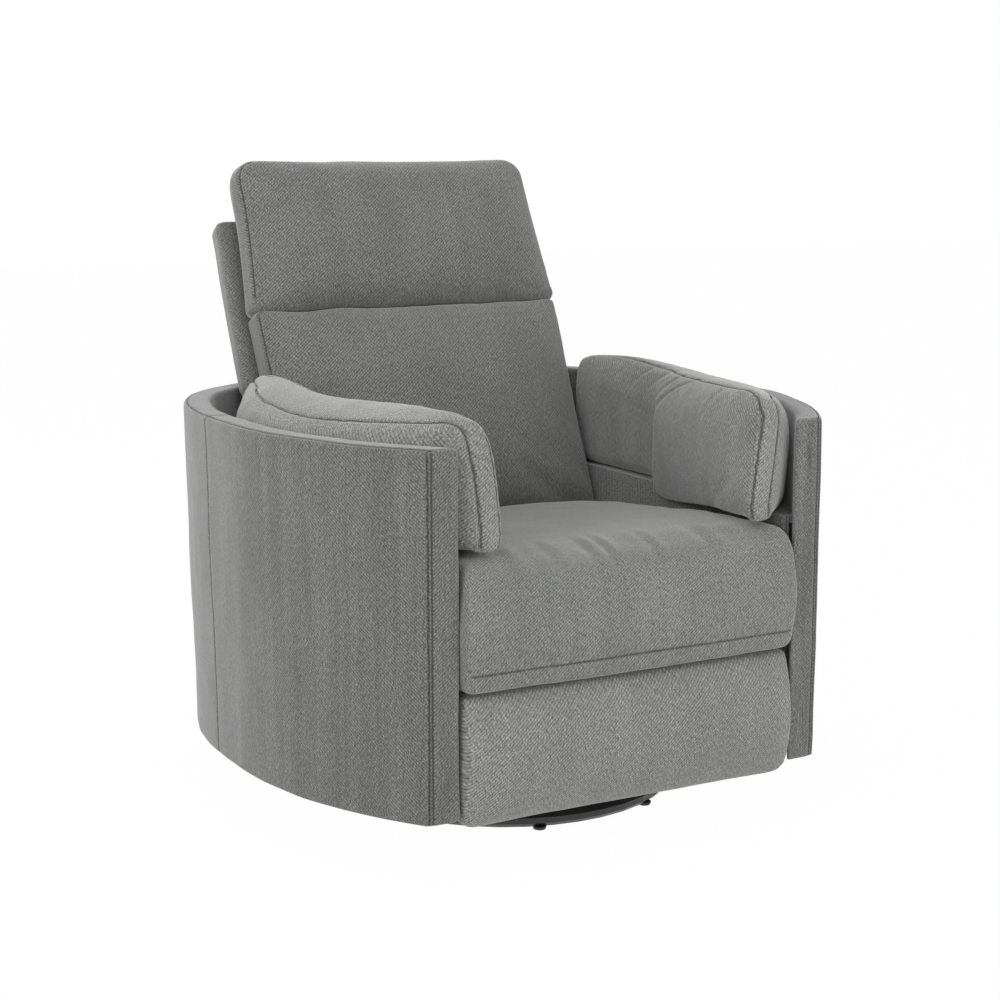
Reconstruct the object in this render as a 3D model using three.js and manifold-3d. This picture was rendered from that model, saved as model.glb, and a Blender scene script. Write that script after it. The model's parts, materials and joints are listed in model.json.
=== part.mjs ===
// A swivel glider recliner: a barrel shell on a ring base, with loose arm pillows,
// a seat that slides forward as the back tilts, and a footrest on folding links.
// Millimetres, +Z up. The sitter faces -Y, and left and right are the sitter's, so left is +X.
// The origin is on the floor, under the middle of the chair's outer box.
import * as THREE from 'three';
import { mergeVertices } from 'three/addons/utils/BufferGeometryUtils.js';
import Module from 'manifold-3d';

const wasm = await Module();
wasm.setup();

// Clearances between pieces that touch, and how far a cutter runs past what it cuts.
const seatGap = 0.3;
const softGap = 0.4;
const sideGap = 0.5;
const overrun = 2;
const mergeShare = 0.01;

// The seat. Its width and height set the frame inside, and its depth follows the shell's.
const seatHalf = 299;
const seatTop = 468;
const seatCrown = 20;
const seatPadDepth = 118;
const seatPadBottom = seatTop - seatPadDepth;
const apronDrop = 62;
const apronBottom = seatPadBottom - apronDrop;
const apronDepth = 65;
const apronRoll = 12;
const seatCorner = 26;
const seatNoseRadius = 46;
const stitchHeight = 44;
const stitchDepth = 5;

// The barrel shell, in plan two curves that meet where it is widest.
const armInset = 7;
const armInnerX = seatHalf + armInset;
const armSpread = 202;
const halfWidth = armInnerX + armSpread;
const chairDepth = 940;
const frontY = -chairDepth / 2;
const rearY = chairDepth / 2;
const armHeight = 660;
const shellBottom = 92;
const shellWall = 46;
const shellOpening = 3.049;
const shellFrontInner = seatHalf + shellOpening;
const shellFrontStrip = 53.646;
const shellWidestY = -85;
const shellTaper = 10;
const shellTopRadius = 14;
const shellBottomRadius = 4;
const shellEndRadius = 8;
const shellSeamRadius = 2.5;
const shellSeamY = 30;
const shellFrontPower = 1.72;
const shellRearPower = 2.8;

// The arms' inner boards and decks, and the pillows that lie on them.
const armBoard = 12;
const armBoardSetback = 30;
const armBoardFrontY = frontY + armBoardSetback;
const armBoardRearSetback = 125;
const armBoardRearY = rearY - armBoardRearSetback;
const deckRise = 29;
const deckTop = seatTop + deckRise;
const pillowSetback = 8;
const pillowFrontY = frontY + pillowSetback;
const pillowRearSetback = 220;
const pillowLength = rearY - pillowRearSetback - pillowFrontY;
const pillowMargin = 37;
const pillowWidth = armSpread - pillowMargin;
const pillowHeight = 202;
const pillowFold = 2.6;
const pillowPower = 2.8;

// The seat frame, its runners and its springs.
const seatSetback = 1;
const seatFrontY = frontY + seatSetback;
const seatRearSetback = 410;
const seatRearY = rearY - seatRearSetback;
const railInset = 7;
const railHalfX = seatHalf - railInset;
const railWidth = 40;
const railInnerX = railHalfX - railWidth;
const railHeight = 45;
const rearRailInset = 50;
const rearRailY = seatRearY - rearRailInset;
const springWire = 3.5;
const springCount = 4;
const springTurns = 7;
const springWidth = 54;
const railTop = seatPadBottom - seatGap - springWire - seatGap;
const railBottom = railTop - railHeight;
const runnerInset = 77;
const runnerFrontY = seatFrontY + runnerInset;
const runnerRearInset = 22;
const runnerRearY = seatRearY - runnerRearInset;
const runnerWeb = 4;
const flangeInset = 16;
const runnerFlangeX = railHalfX - flangeInset;
const flangeTop = railBottom - seatGap;
const flangeLow = flangeTop - runnerWeb;

// The carriage: side plates, crossbars and slide channels.
const carriageInset = 60;
const sidePlateX = railInnerX - carriageInset;
const sidePlateSlope = 14;
const sidePlateMargin = 12;
const barDepth = 40;
const barHeight = 40;
const barBottom = 104;
const frontBarSetback = 160;
const frontBarY = frontY + frontBarSetback;
const rearBarSetback = 320;
const rearBarY = rearY - rearBarSetback;
const channelDrop = 14.6;
const channelTop = flangeLow - channelDrop;
const channelHeight = 34;
const channelBottom = channelTop - channelHeight;
const channelWidth = 13.2;
const channelWall = 2.5;
const channelFrontReach = 15;
const channelFrontY = frontBarY - channelFrontReach;
const channelRearReach = 5;
const channelRearY = rearBarY + barDepth + channelRearReach;
const sidePlateRise = 2;
const sidePlateTop = channelTop + sidePlateRise;

// The glider: four hanging links between the turntable and the carriage.
const glidePivotDrop = 33;
const glidePivotHeight = channelBottom - glidePivotDrop;
const lowPivotHeight = 85;
const sidePlateDrop = 17;
const sidePlateBottom = lowPivotHeight - sidePlateDrop;
const frontPivotInset = 120;
const frontPivotY = frontBarY + frontPivotInset;
const rearPivotInset = 80;
const rearPivotY = rearBarY - rearPivotInset;
const linkRoom = 16;
const bracketX = sidePlateX - linkRoom;
const bracketFootWidth = 34;
const bracketBaseHalf = 70;
const bracketArmDrop = 18;
const bracketNeckDrop = 65;
const bracketNeckHeight = glidePivotHeight - bracketNeckDrop;
const linkHalfWidth = 13;
const plateThickness = 4;
const linkThickness = 5;
const pinRadius = 6;
const headRadius = 10;
const headThickness = 3;

// The ring base and the swivel stack, under the middle of the glider.
const swivelY = (frontPivotY + rearPivotY) / 2;
const ringRadius = 281;
const ringTube = 25;
const baseTurn = 5;
const glideCount = 8;
const glideHeight = 5;
const glideRadius = 12;
const glideDraft = 1.5;
const spokeWidth = 36;
const spokeThickness = 8;
const spokeBottom = 12;
const hubRadius = 95;
const hubThickness = 4;
const bearingInset = 7;
const bearingOuter = hubRadius - bearingInset;
const bearingWall = 40;
const bearingInner = bearingOuter - bearingWall;
const bearingHeight = 10;
const turntableInset = 2;
const turntableHalfX = bracketX - turntableInset;
const turntableMargin = 30;
const turntableHalfY = bracketBaseHalf + turntableMargin;
const turntableThickness = 6;
const turntableCorner = 20;
const swivelPinRadius = 12;
const swivelHeadRadius = 22;
const swivelHeadHeight = 5;

// The backrest, which leans back from a plane through its front seams.
const backLeanAngle = 24;
const backPlaneInset = 127;
const backPlaneY = seatRearY - backPlaneInset;
const backThickness = 53;
const boxing = 57;
const backHalf = seatHalf;
const lumbarDrop = 13;
const lumbarLow = seatTop - lumbarDrop;
const lumbarInset = 1;
const lumbarLowHalf = backHalf - lumbarInset;
const lumbarSpread = 5;
const lumbarHalf = backHalf + lumbarSpread;
const lumbarCrown = 66;
const lumbarSwell = 1.5;
const lumbarLowRadius = 40;
const lumbarHighRadius = 18;
const lumbarDraw = 5;
const lumbarLength = 418;
const headLow = lumbarLow + lumbarLength;
const headLength = 266;
const headHigh = headLow + headLength;
const headSpread = 4;
const headHalf = backHalf + headSpread;
const headTaper = 16;
const headTopHalf = headHalf - headTaper;
const headCrown = 50;
const headSwell = 3;
const headLowRadius = 20;
const headHighRadius = 34;
const headDraw = 4;
const backFrameDrop = 40;
const backFrameLow = lumbarLow - backFrameDrop;
const headRise = 66;
const backFrameHigh = headHigh - headRise;
const backFrameCorner = 14;
const backPivotInset = 35;
const backPivotY = seatRearY + backPivotInset;
const backPivotRise = 39.1;
const backPivotZ = railTop + backPivotRise;
const backEarInset = 10;
const backEarX = railInnerX + backEarInset;
const backPinRadius = 7;
const backPinHead = 12;
const hingeStartAngle = 120;
const hingeEndAngle = 300;
const railPastPivot = 15;
const railRearY = backPivotY + railPastPivot;

// The footrest and its folding links.
const footInset = 7;
const footHalf = seatHalf - footInset;
const footDrop = 10;
const footTop = apronBottom - footDrop;
const footBottom = 82;
const footSeamInset = 20;
const footSeamY = seatFrontY + footSeamInset;
const footPadDepth = 24;
const footPadRearY = footSeamY + footPadDepth;
const footCrown = 19;
const footSwell = 0.8;
const footLowRadius = 26;
const footHighRadius = 12;
const footDraw = 3;
const footBoardInset = 12;
const footBoardThickness = 12;
const footPivotInset = 129;
const footPivotY = seatFrontY + footPivotInset;
const footPivotDrop = 34.6;
const footPivotZ = flangeLow - footPivotDrop;
const footEarInset = 24;
const footEarX = railInnerX - footEarInset;
const footKneeHeight = 92;
const footLowerLink = footPivotZ - footKneeHeight;
const footUpperExtra = 10;
const footUpperLink = footLowerLink + footUpperExtra;
const footLowerAngle = -90;
const footUpperAngle = 75;
const footLinkHalfWidth = 12;
const footEarHalfY = 28;
const footEarDrop = 14;

// The release lever, in its bezel on the right arm's deck.
const bezelInset = 16;
const bezelX = armInnerX + bezelInset;
const bezelY = 10;
const bezelWidth = 30;
const bezelLength = 84;
const bezelHeight = 5;
const leverWidth = 20;
const leverLength = 66;
const leverThickness = 5;
const leverLip = 4;

const rad = (degrees) => degrees * Math.PI / 180;

// Half the sides of a round hole or pin, and the hole that a pin turns in.
const arcSteps = 6;
const holeFor = (radius) => (radius + seatGap) / Math.cos(Math.PI / arcSteps / 2);

function paint(color, roughness, metalness) {
  return () => new THREE.MeshStandardMaterial({ color, roughness, metalness });
}

const chenille = paint('#6d6f70', 0.95, 0);
const blackSteel = paint('#17181a', 0.38, 0.75);
const zincSteel = paint('#8c9094', 0.4, 0.9);
const springSteel = paint('#5d6063', 0.35, 0.95);
const plywood = paint('#b08a5a', 0.8, 0);
const blackPlastic = paint('#141414', 0.5, 0);

// Leaves a geometry closed, with shared points merged and its faces pointing out.
function tidy(geometry) {
  const bare = new THREE.BufferGeometry();
  bare.setAttribute('position', geometry.getAttribute('position').clone());
  if (geometry.index) {
    bare.setIndex(geometry.index.clone());
  }
  const merged = mergeVertices(bare, seatGap * mergeShare);
  const place = merged.getAttribute('position');
  const corners = [...merged.index.array];
  const faces = [];
  const a = new THREE.Vector3();
  const b = new THREE.Vector3();
  const c = new THREE.Vector3();
  let volume = 0;
  for (let i = 0; i < corners.length; i += 3) {
    const face = corners.slice(i, i + 3);
    if (new Set(face).size < 3) {
      continue;
    }
    a.fromBufferAttribute(place, face[0]);
    b.fromBufferAttribute(place, face[1]);
    c.fromBufferAttribute(place, face[2]);
    volume += a.dot(b.cross(c));
    faces.push(face);
  }
  if (volume < 0) {
    faces.forEach((face) => face.reverse());
  }
  merged.setIndex(faces.flat());
  merged.computeVertexNormals();
  return merged;
}

function toSolid(geometry) {
  const clean = tidy(geometry);
  return new wasm.Manifold(new wasm.Mesh({
    numProp: 3,
    vertProperties: new Float32Array(clean.getAttribute('position').array),
    triVerts: new Uint32Array(clean.index.array),
  }));
}

function toGeometry(solid) {
  const mesh = solid.getMesh();
  const geometry = new THREE.BufferGeometry();
  geometry.setAttribute('position', new THREE.BufferAttribute(mesh.vertProperties, 3));
  geometry.setIndex([...mesh.triVerts]);
  return geometry;
}

function join(first, ...others) {
  return toGeometry(others.reduce((sum, next) => sum.add(toSolid(next)), toSolid(first)));
}

function cut(first, ...others) {
  return toGeometry(others.reduce((rest, next) => rest.subtract(toSolid(next)), toSolid(first)));
}

function mirrored(geometry, side) {
  return side < 0 ? geometry.clone().scale(-1, 1, 1) : geometry;
}

function block(low, high) {
  const size = high.map((value, axis) => value - low[axis]);
  const geometry = new THREE.BoxGeometry(...size);
  return geometry.translate(...low.map((value, axis) => value + size[axis] / 2));
}

function rod(radius, low, high, axis, sides = arcSteps * 2) {
  const geometry = new THREE.CylinderGeometry(radius, radius, high - low, sides);
  geometry.translate(0, (low + high) / 2, 0);
  return axis === 'x' ? geometry.rotateZ(-Math.PI / 2) : geometry.rotateX(Math.PI / 2);
}

// A flat outline in Y and Z, thickened along X from one place to another.
function sidePlate(shape, lowX, highX) {
  const geometry = new THREE.ExtrudeGeometry(shape, {
    depth: highX - lowX, bevelEnabled: false, curveSegments: arcSteps,
  });
  geometry.translate(0, 0, lowX);
  const turn = new THREE.Matrix4().makeBasis(
    new THREE.Vector3(0, 1, 0), new THREE.Vector3(0, 0, 1), new THREE.Vector3(1, 0, 0));
  return geometry.applyMatrix4(turn);
}

// A section in X and Z, run along Y from one place to another.
function runAlongY(section, lowY, highY) {
  const shape = new THREE.Shape(section.map(([x, z]) => new THREE.Vector2(x, z)));
  const geometry = new THREE.ExtrudeGeometry(shape, { depth: highY - lowY, bevelEnabled: false });
  return geometry.rotateX(Math.PI / 2).translate(0, highY, 0);
}

// An outline in X and Y, raised from one height to another.
function raise(outline, lowZ, highZ) {
  const shape = new THREE.Shape(outline.map(([x, y]) => new THREE.Vector2(x, y)));
  const geometry = new THREE.ExtrudeGeometry(shape, { depth: highZ - lowZ, bevelEnabled: false });
  return geometry.translate(0, 0, lowZ);
}

function turned(profile, steps) {
  const points = profile.map(([r, z]) => new THREE.Vector2(r, z));
  return new THREE.LatheGeometry(points, steps).rotateX(Math.PI / 2);
}

// A bar with round ends between two points in Y and Z, with a hole at each listed end.
function linkShape(start, end, halfWidth, holes) {
  const angle = Math.atan2(end[1] - start[1], end[0] - start[0]);
  const shape = new THREE.Shape();
  shape.absarc(end[0], end[1], halfWidth, angle - Math.PI / 2, angle + Math.PI / 2, false);
  shape.absarc(start[0], start[1], halfWidth, angle + Math.PI / 2, angle + Math.PI * 1.5, false);
  shape.closePath();
  for (const [centre, radius] of holes) {
    const hole = new THREE.Path();
    hole.absarc(centre[0], centre[1], radius, 0, Math.PI * 2, true);
    shape.holes.push(hole);
  }
  return shape;
}

// A headed pin along X, from one face to another, with its head past the second.
function headedPin(radius, head, fromX, toX, y, z) {
  const way = Math.sign(toX - fromX);
  const span = [fromX, toX + way * overrun / 2].sort((p, q) => p - q);
  const cap = [toX, toX + way * headThickness].sort((p, q) => p - q);
  const pin = join(rod(radius, ...span, 'x'), rod(head, ...cap, 'x'));
  return pin.translate(0, y, z);
}

// Joins rings of points into one closed skin, with a flat face over each end.
function loft(rings) {
  const count = rings[0].length;
  const faces = [];
  for (let i = 0; i + 1 < rings.length; i += 1) {
    for (let j = 0; j < count; j += 1) {
      const a = i * count + j;
      const b = i * count + (j + 1) % count;
      faces.push(a, b, a + count, b, b + count, a + count);
    }
  }
  const last = (rings.length - 1) * count;
  for (const face of cap(rings[0])) {
    faces.push(face[2], face[1], face[0]);
  }
  for (const face of cap(rings[rings.length - 1])) {
    faces.push(...face.map((corner) => corner + last));
  }
  const geometry = new THREE.BufferGeometry();
  geometry.setAttribute('position', new THREE.Float32BufferAttribute(rings.flat(2), 3));
  geometry.setIndex(faces);
  return geometry;
}

// The triangles of a flat ring, turned the way the ring runs.
function cap(ring) {
  const points = ring.map((point) => new THREE.Vector3(...point));
  const normal = new THREE.Vector3();
  points.forEach((point, i) => normal.add(point.clone().cross(points[(i + 1) % points.length])));
  const size = normal.toArray().map(Math.abs);
  const drop = size.indexOf(Math.max(...size));
  const [u, v] = [(drop + 1) % 3, (drop + 2) % 3];
  const flat = ring.map((point) => new THREE.Vector2(point[u], point[v]));
  const way = Math.sign(THREE.ShapeUtils.area(flat));
  return THREE.ShapeUtils.triangulateShape(flat, []).map((face) => {
    const turn = Math.sign(THREE.ShapeUtils.area(face.map((corner) => flat[corner])));
    return turn === way ? face : [face[2], face[1], face[0]];
  });
}

// A smooth value from a table of rows, whose first column is the place along it.
function along(table, share, column) {
  const last = table.length - 1;
  let i = 0;
  while (i < last - 1 && share > table[i + 1][0]) {
    i += 1;
  }
  const slope = (k) => {
    const before = table[Math.max(k - 1, 0)];
    const after = table[Math.min(k + 1, last)];
    return (after[column] - before[column]) / (after[0] - before[0]);
  };
  const span = table[i + 1][0] - table[i][0];
  const t = (share - table[i][0]) / span;
  const rise = [2 * t ** 3 - 3 * t ** 2 + 1, t ** 3 - 2 * t ** 2 + t];
  return rise[0] * table[i][column] + rise[1] * span * slope(i)
    + (1 - rise[0]) * table[i + 1][column] + (t ** 3 - t ** 2) * span * slope(i + 1);
}

// The shell's plan.
const rearReach = rearY - shellWidestY;
const innerHalfWidth = halfWidth - shellWall;

// How far forward a front curve would run to close, from the half width it has at the front.
function frontReach(width, frontHalf) {
  const share = (frontHalf / width) ** shellFrontPower;
  return (shellWidestY - frontY) / (1 - share) ** (1 / shellFrontPower);
}

const outerReach = frontReach(halfWidth, shellFrontInner + shellFrontStrip);
const innerReach = frontReach(innerHalfWidth, shellFrontInner);

function frontCurve(y, width, reach) {
  const share = ((shellWidestY - y) / reach) ** shellFrontPower;
  return width * (1 - share) ** (1 / shellFrontPower);
}

function rearCurve(angle, width, reach) {
  const power = 2 / shellRearPower;
  const across = Math.abs(Math.cos(angle)) ** power * Math.sign(Math.cos(angle));
  return [width * across, shellWidestY + reach * Math.sin(angle) ** power];
}

function frontStation(y) {
  return {
    outer: [frontCurve(y, halfWidth, outerReach), y],
    inner: [frontCurve(y, innerHalfWidth, innerReach), y],
    taper: (y - frontY) / (shellWidestY - frontY),
  };
}

function rearStation(angle) {
  return {
    outer: rearCurve(angle, halfWidth, rearReach),
    inner: rearCurve(angle, innerHalfWidth, rearReach - shellWall),
    taper: 1,
  };
}

function angleAtY(y) {
  return Math.asin(((y - shellWidestY) / rearReach) ** (shellRearPower / 2));
}

const bottomCornerSteps = 1;
const topCornerSteps = 3;

// One ring of the wall, from its inner to its outer face, drawn in by an inset at an end.
function wallRing({ outer, inner, taper }, inset) {
  const run = [outer[0] - inner[0], outer[1] - inner[1]];
  const width = Math.hypot(...run);
  const corners = [
    [inset, shellBottom + inset, shellBottomRadius, Math.PI, bottomCornerSteps],
    [width - inset, shellBottom + inset, shellBottomRadius, Math.PI * 1.5, bottomCornerSteps],
    [width - inset, armHeight - inset, shellTopRadius, 0, topCornerSteps],
    [inset, armHeight - inset, shellTopRadius, Math.PI / 2, topCornerSteps],
  ];
  return corners.flatMap(([u, z, radius, start, steps]) => {
    const centreU = u + Math.sign(width / 2 - u) * radius;
    const centreZ = z + Math.sign(armHeight / 2 - z) * radius;
    const points = [];
    for (let i = 0; i <= steps; i += 1) {
      const angle = start + i / steps * Math.PI / 2;
      const height = centreZ + radius * Math.sin(angle);
      const lean = shellTaper * taper * (armHeight - height) / (armHeight - shellBottom);
      const across = centreU + radius * Math.cos(angle) - (u > width / 2 ? lean : 0);
      points.push([inner[0] + run[0] * across / width, inner[1] + run[1] * across / width, height]);
    }
    return points;
  });
}

const sideStepShares = [0.05, 0.1, 0.17, 0.25, 0.34, 0.44, 0.55, 0.67, 0.8, 0.9, 1];
const endSteps = 3;
const rearSteps = 30;
const sideSeamSteps = 2;

function sideStations() {
  const stations = [];
  for (let i = 0; i < endSteps; i += 1) {
    const angle = i / endSteps * Math.PI / 2;
    const y = frontY + shellEndRadius * (1 - Math.cos(angle));
    stations.push([frontStation(y), shellEndRadius * (1 - Math.sin(angle))]);
  }
  for (const share of sideStepShares) {
    stations.push([frontStation(frontY + share * (shellWidestY - frontY)), 0]);
  }
  for (let i = 1; i <= sideSeamSteps; i += 1) {
    const y = shellWidestY + (shellSeamY - shellSeamRadius - shellWidestY) * i / sideSeamSteps;
    stations.push([rearStation(angleAtY(y)), 0]);
  }
  stations.push([rearStation(angleAtY(shellSeamY)), shellSeamRadius]);
  return stations;
}

function rearStations() {
  const first = angleAtY(shellSeamY + seatGap);
  const second = angleAtY(shellSeamY + seatGap + shellSeamRadius);
  const stations = [[rearStation(first), shellSeamRadius]];
  for (let i = 0; i <= rearSteps; i += 1) {
    stations.push([rearStation(second + (Math.PI - 2 * second) * i / rearSteps), 0]);
  }
  stations.push([rearStation(Math.PI - first), shellSeamRadius]);
  return stations;
}

const shellSide = loft(sideStations().map(([station, inset]) => wallRing(station, inset)));
const shellRear = loft(rearStations().map(([station, inset]) => wallRing(station, inset)));

// The shell's inner face at a depth, on the straight runs between its stations.
const innerLine = [...sideStations(), ...rearStations()].map(([station]) => station.inner)
  .filter(([x]) => x > 0);

function innerX(y) {
  const next = innerLine.findIndex((point) => point[1] >= y);
  const [x0, y0] = innerLine[Math.max(next - 1, 0)];
  const [x1, y1] = innerLine[Math.max(next, 1)];
  return x0 + (x1 - x0) * (y - y0) / (y1 - y0);
}

// Arm boards and decks.
const deckBottom = deckTop - armBoard;
const barTop = barBottom + barHeight;
const armInner = block(
  [armInnerX, armBoardFrontY, barTop + seatGap],
  [armInnerX + armBoard, armBoardRearY, deckBottom - seatGap]);

const deckSteps = 18;
const deckOutline = [[armInnerX, armBoardRearY], [armInnerX, armBoardFrontY]];
for (let i = 0; i <= deckSteps; i += 1) {
  const y = armBoardFrontY + (armBoardRearY - armBoardFrontY) * i / deckSteps;
  deckOutline.push([innerX(y) - seatGap, y]);
}
const armDeck = raise(deckOutline, deckBottom, deckTop);

// Arm pillow: place along it, then the shares of its width, height and gap to the shell.
const pillowShares = [
  [0, 0.34, 0.78, 0.1], [0.008, 0.47, 0.92, 0.05], [0.031, 0.61, 0.98, 0.018],
  [0.073, 0.74, 1, 0], [0.125, 0.86, 1, 0], [0.228, 1, 1, 0], [0.334, 0.98, 1, 0],
  [0.438, 0.92, 1, 0], [0.55, 0.855, 1, 0], [0.65, 0.82, 1, 0], [0.79, 0.72, 1, 0],
  [0.878, 0.58, 0.985, 0], [0.958, 0.4, 0.95, 0.006], [0.99, 0.24, 0.85, 0.06],
  [1, 0.13, 0.7, 0.12],
];
const pillowEndShares = [0, 0.003, 0.008, 0.016, 0.031, 0.052, 0.073, 0.1, 0.125];
const pillowTailShares = [0.65, 0.72, 0.79, 0.84, 0.878, 0.92, 0.958, 0.978, 0.99, 1];
const foldFirstShare = 0.15;
const foldLastShare = 0.6;
const foldCount = 4;
const stepsPerFold = 4;
const pillowPoints = 16;

function pillowRing(share) {
  const y = pillowFrontY + pillowLength * share;
  const half = pillowWidth * along(pillowShares, share, 1) / 2;
  const rise = pillowHeight * along(pillowShares, share, 2) / 2;
  const gap = softGap + pillowWidth * Math.max(along(pillowShares, share, 3), 0);
  const centreX = innerX(y) - gap - half;
  const centreZ = deckTop + softGap + pillowHeight / 2;
  const way = (share - foldFirstShare) / (foldLastShare - foldFirstShare);
  const fold = way > 0 && way < 1 ? pillowFold * Math.sin(way * foldCount * Math.PI) ** 2 : 0;
  const ring = [];
  for (let i = 0; i < pillowPoints; i += 1) {
    const angle = i / pillowPoints * Math.PI * 2;
    const cos = Math.abs(Math.cos(angle)) ** (2 / pillowPower) * Math.sign(Math.cos(angle));
    const sin = Math.abs(Math.sin(angle)) ** (2 / pillowPower) * Math.sign(Math.sin(angle));
    const inward = Math.max(-Math.cos(angle), 0) * fold;
    ring.push([centreX + half * cos + inward, y, centreZ + rise * sin]);
  }
  return ring;
}

const pillowSteps = [...pillowEndShares];
for (let i = 0; i < foldCount * stepsPerFold; i += 1) {
  pillowSteps.push(foldFirstShare + (foldLastShare - foldFirstShare) * i / foldCount / stepsPerFold);
}
pillowSteps.push(...pillowTailShares);
const armPillow = loft(pillowSteps.map(pillowRing));

// Ring base: a bent tube with a flat facet underneath, where the glides sit.
const ringSides = 8;
const ringSteps = 40;
const ringFlat = ringTube / 2 * Math.cos(Math.PI / ringSides);
const ringZ = glideHeight + seatGap + ringFlat;
const ringProfile = [];
for (let i = 0; i <= ringSides; i += 1) {
  const angle = (i + 0.5) / ringSides * Math.PI * 2 - Math.PI / 2;
  ringProfile.push([
    ringRadius + ringTube / 2 * Math.cos(angle), ringZ + ringTube / 2 * Math.sin(angle)]);
}
const baseRing = turned(ringProfile, ringSteps);

const spokeTop = spokeBottom + spokeThickness;
const ringInner = (ringRadius - ringFlat) * Math.cos(Math.PI / ringSteps) - seatGap;
const spokeReach = Math.sqrt(ringInner ** 2 - (spokeWidth / 2) ** 2);
const hubBottom = spokeTop + seatGap;
const bearingBottom = hubBottom + hubThickness + seatGap;
const turntableBottom = bearingBottom + bearingHeight + seatGap;
const turntableTop = turntableBottom + turntableThickness;
const discSides = 28;

const pinHole = (swivelPinRadius + seatGap) / Math.cos(Math.PI / discSides);

function disc(radius, low, high, hole) {
  const body = rod(radius, low, high, 'z', discSides);
  return cut(body, rod(hole, low - overrun, high + overrun, 'z', discSides));
}

const spokeBar = [spokeReach, spokeWidth / 2];
const baseCross = cut(
  join(
    block([-spokeBar[0], -spokeBar[1], spokeBottom], [...spokeBar, spokeTop]),
    block([-spokeBar[1], -spokeBar[0], spokeBottom], [spokeBar[1], spokeBar[0], spokeTop]),
    rod(hubRadius, spokeBottom, spokeTop, 'z', discSides)),
  rod(pinHole, spokeBottom - overrun, spokeTop + overrun, 'z', discSides));

const swivelPin = join(
  rod(swivelPinRadius, spokeBottom, turntableTop + seatGap + overrun / 2, 'z', discSides),
  rod(swivelHeadRadius, turntableTop + seatGap,
    turntableTop + seatGap + swivelHeadHeight, 'z', discSides));

const glideSides = 10;
const glideFoot = new THREE.CylinderGeometry(
  glideRadius, glideRadius - glideDraft, glideHeight, glideSides).rotateX(Math.PI / 2)
  .translate(0, 0, glideHeight / 2);

// Turntable and glider brackets.
const turntableShape = new THREE.Shape();
const cornerX = turntableHalfX - turntableCorner;
const cornerY = turntableHalfY - turntableCorner;
[[cornerX, -cornerY], [cornerX, cornerY], [-cornerX, cornerY], [-cornerX, -cornerY]]
  .forEach(([x, y], i) => {
    const start = (i - 1) * Math.PI / 2;
    turntableShape.absarc(x, y, turntableCorner, start, start + Math.PI / 2, false);
  });
const turntablePlate = cut(
  new THREE.ExtrudeGeometry(turntableShape, {
    depth: turntableThickness, bevelEnabled: false, curveSegments: arcSteps,
  }).translate(0, 0, turntableBottom),
  rod(pinHole, turntableBottom - overrun, turntableTop + overrun, 'z', discSides));

const bracketOuter = bracketX + plateThickness;
const linkInner = bracketOuter + sideGap;
const linkOuter = linkInner + linkThickness;
const footLevel = turntableTop + seatGap;

function bracketShape() {
  const shape = new THREE.Shape();
  const low = glidePivotHeight - bracketArmDrop;
  const high = glidePivotHeight + linkHalfWidth;
  const neck = bracketBaseHalf;
  shape.moveTo(swivelY - neck, footLevel);
  shape.lineTo(swivelY + neck, footLevel);
  shape.lineTo(swivelY + neck, bracketNeckHeight);
  shape.lineTo(rearPivotY, low);
  shape.absarc(rearPivotY, glidePivotHeight, linkHalfWidth, -Math.PI / 4, Math.PI / 2, false);
  shape.lineTo(frontPivotY, high);
  shape.absarc(frontPivotY, glidePivotHeight, linkHalfWidth, Math.PI / 2, Math.PI * 1.25, false);
  shape.lineTo(frontPivotY, low);
  shape.lineTo(swivelY - neck, bracketNeckHeight);
  shape.closePath();
  return shape;
}

const gliderBracket = join(
  sidePlate(bracketShape(), bracketX, bracketOuter),
  block(
    [bracketOuter - bracketFootWidth, swivelY - bracketBaseHalf, footLevel],
    [bracketX + overrun, swivelY + bracketBaseHalf, footLevel + plateThickness]),
  ...[frontPivotY, rearPivotY].map((y) => headedPin(
    pinRadius, headRadius, bracketX + overrun, linkOuter + sideGap, y, glidePivotHeight)));

function glideLink(y) {
  const hole = holeFor(pinRadius);
  const high = [y, glidePivotHeight];
  const low = [y, lowPivotHeight];
  const shape = linkShape(low, high, linkHalfWidth, [[low, hole], [high, hole]]);
  return sidePlate(shape, linkInner, linkOuter);
}

// Carriage side plates, notched over the crossbars, with the links' lower pins.
const sidePlateOuter = sidePlateX + plateThickness;
const plateFrontY = frontBarY - sidePlateMargin;
const plateRearY = rearBarY + barDepth + sidePlateMargin;
const notchTop = barTop + seatGap;

function carriageOutline() {
  const frontNotch = frontBarY + barDepth + sidePlateMargin;
  const rearNotch = rearBarY - sidePlateMargin;
  return new THREE.Shape([
    [plateFrontY, notchTop], [frontNotch, notchTop], [frontNotch + sidePlateSlope, sidePlateBottom],
    [rearNotch - sidePlateSlope, sidePlateBottom], [rearNotch, notchTop], [plateRearY, notchTop],
    [plateRearY, sidePlateTop], [plateFrontY, sidePlateTop],
  ].map(([y, z]) => new THREE.Vector2(y, z)));
}

const carriagePlate = join(
  sidePlate(carriageOutline(), sidePlateX, sidePlateOuter),
  ...[frontPivotY, rearPivotY].map((y) => headedPin(
    pinRadius, headRadius, sidePlateX + overrun, linkInner - sideGap, y, lowPivotHeight)));

function crossbar(lowY) {
  const highY = lowY + barDepth;
  const ends = [[innerX(lowY) - seatGap, lowY], [innerX(highY) - seatGap, highY]];
  const outline = [...ends, ...ends.map(([x, y]) => [-x, y]).reverse()];
  return raise(outline, barBottom, barTop);
}

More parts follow.
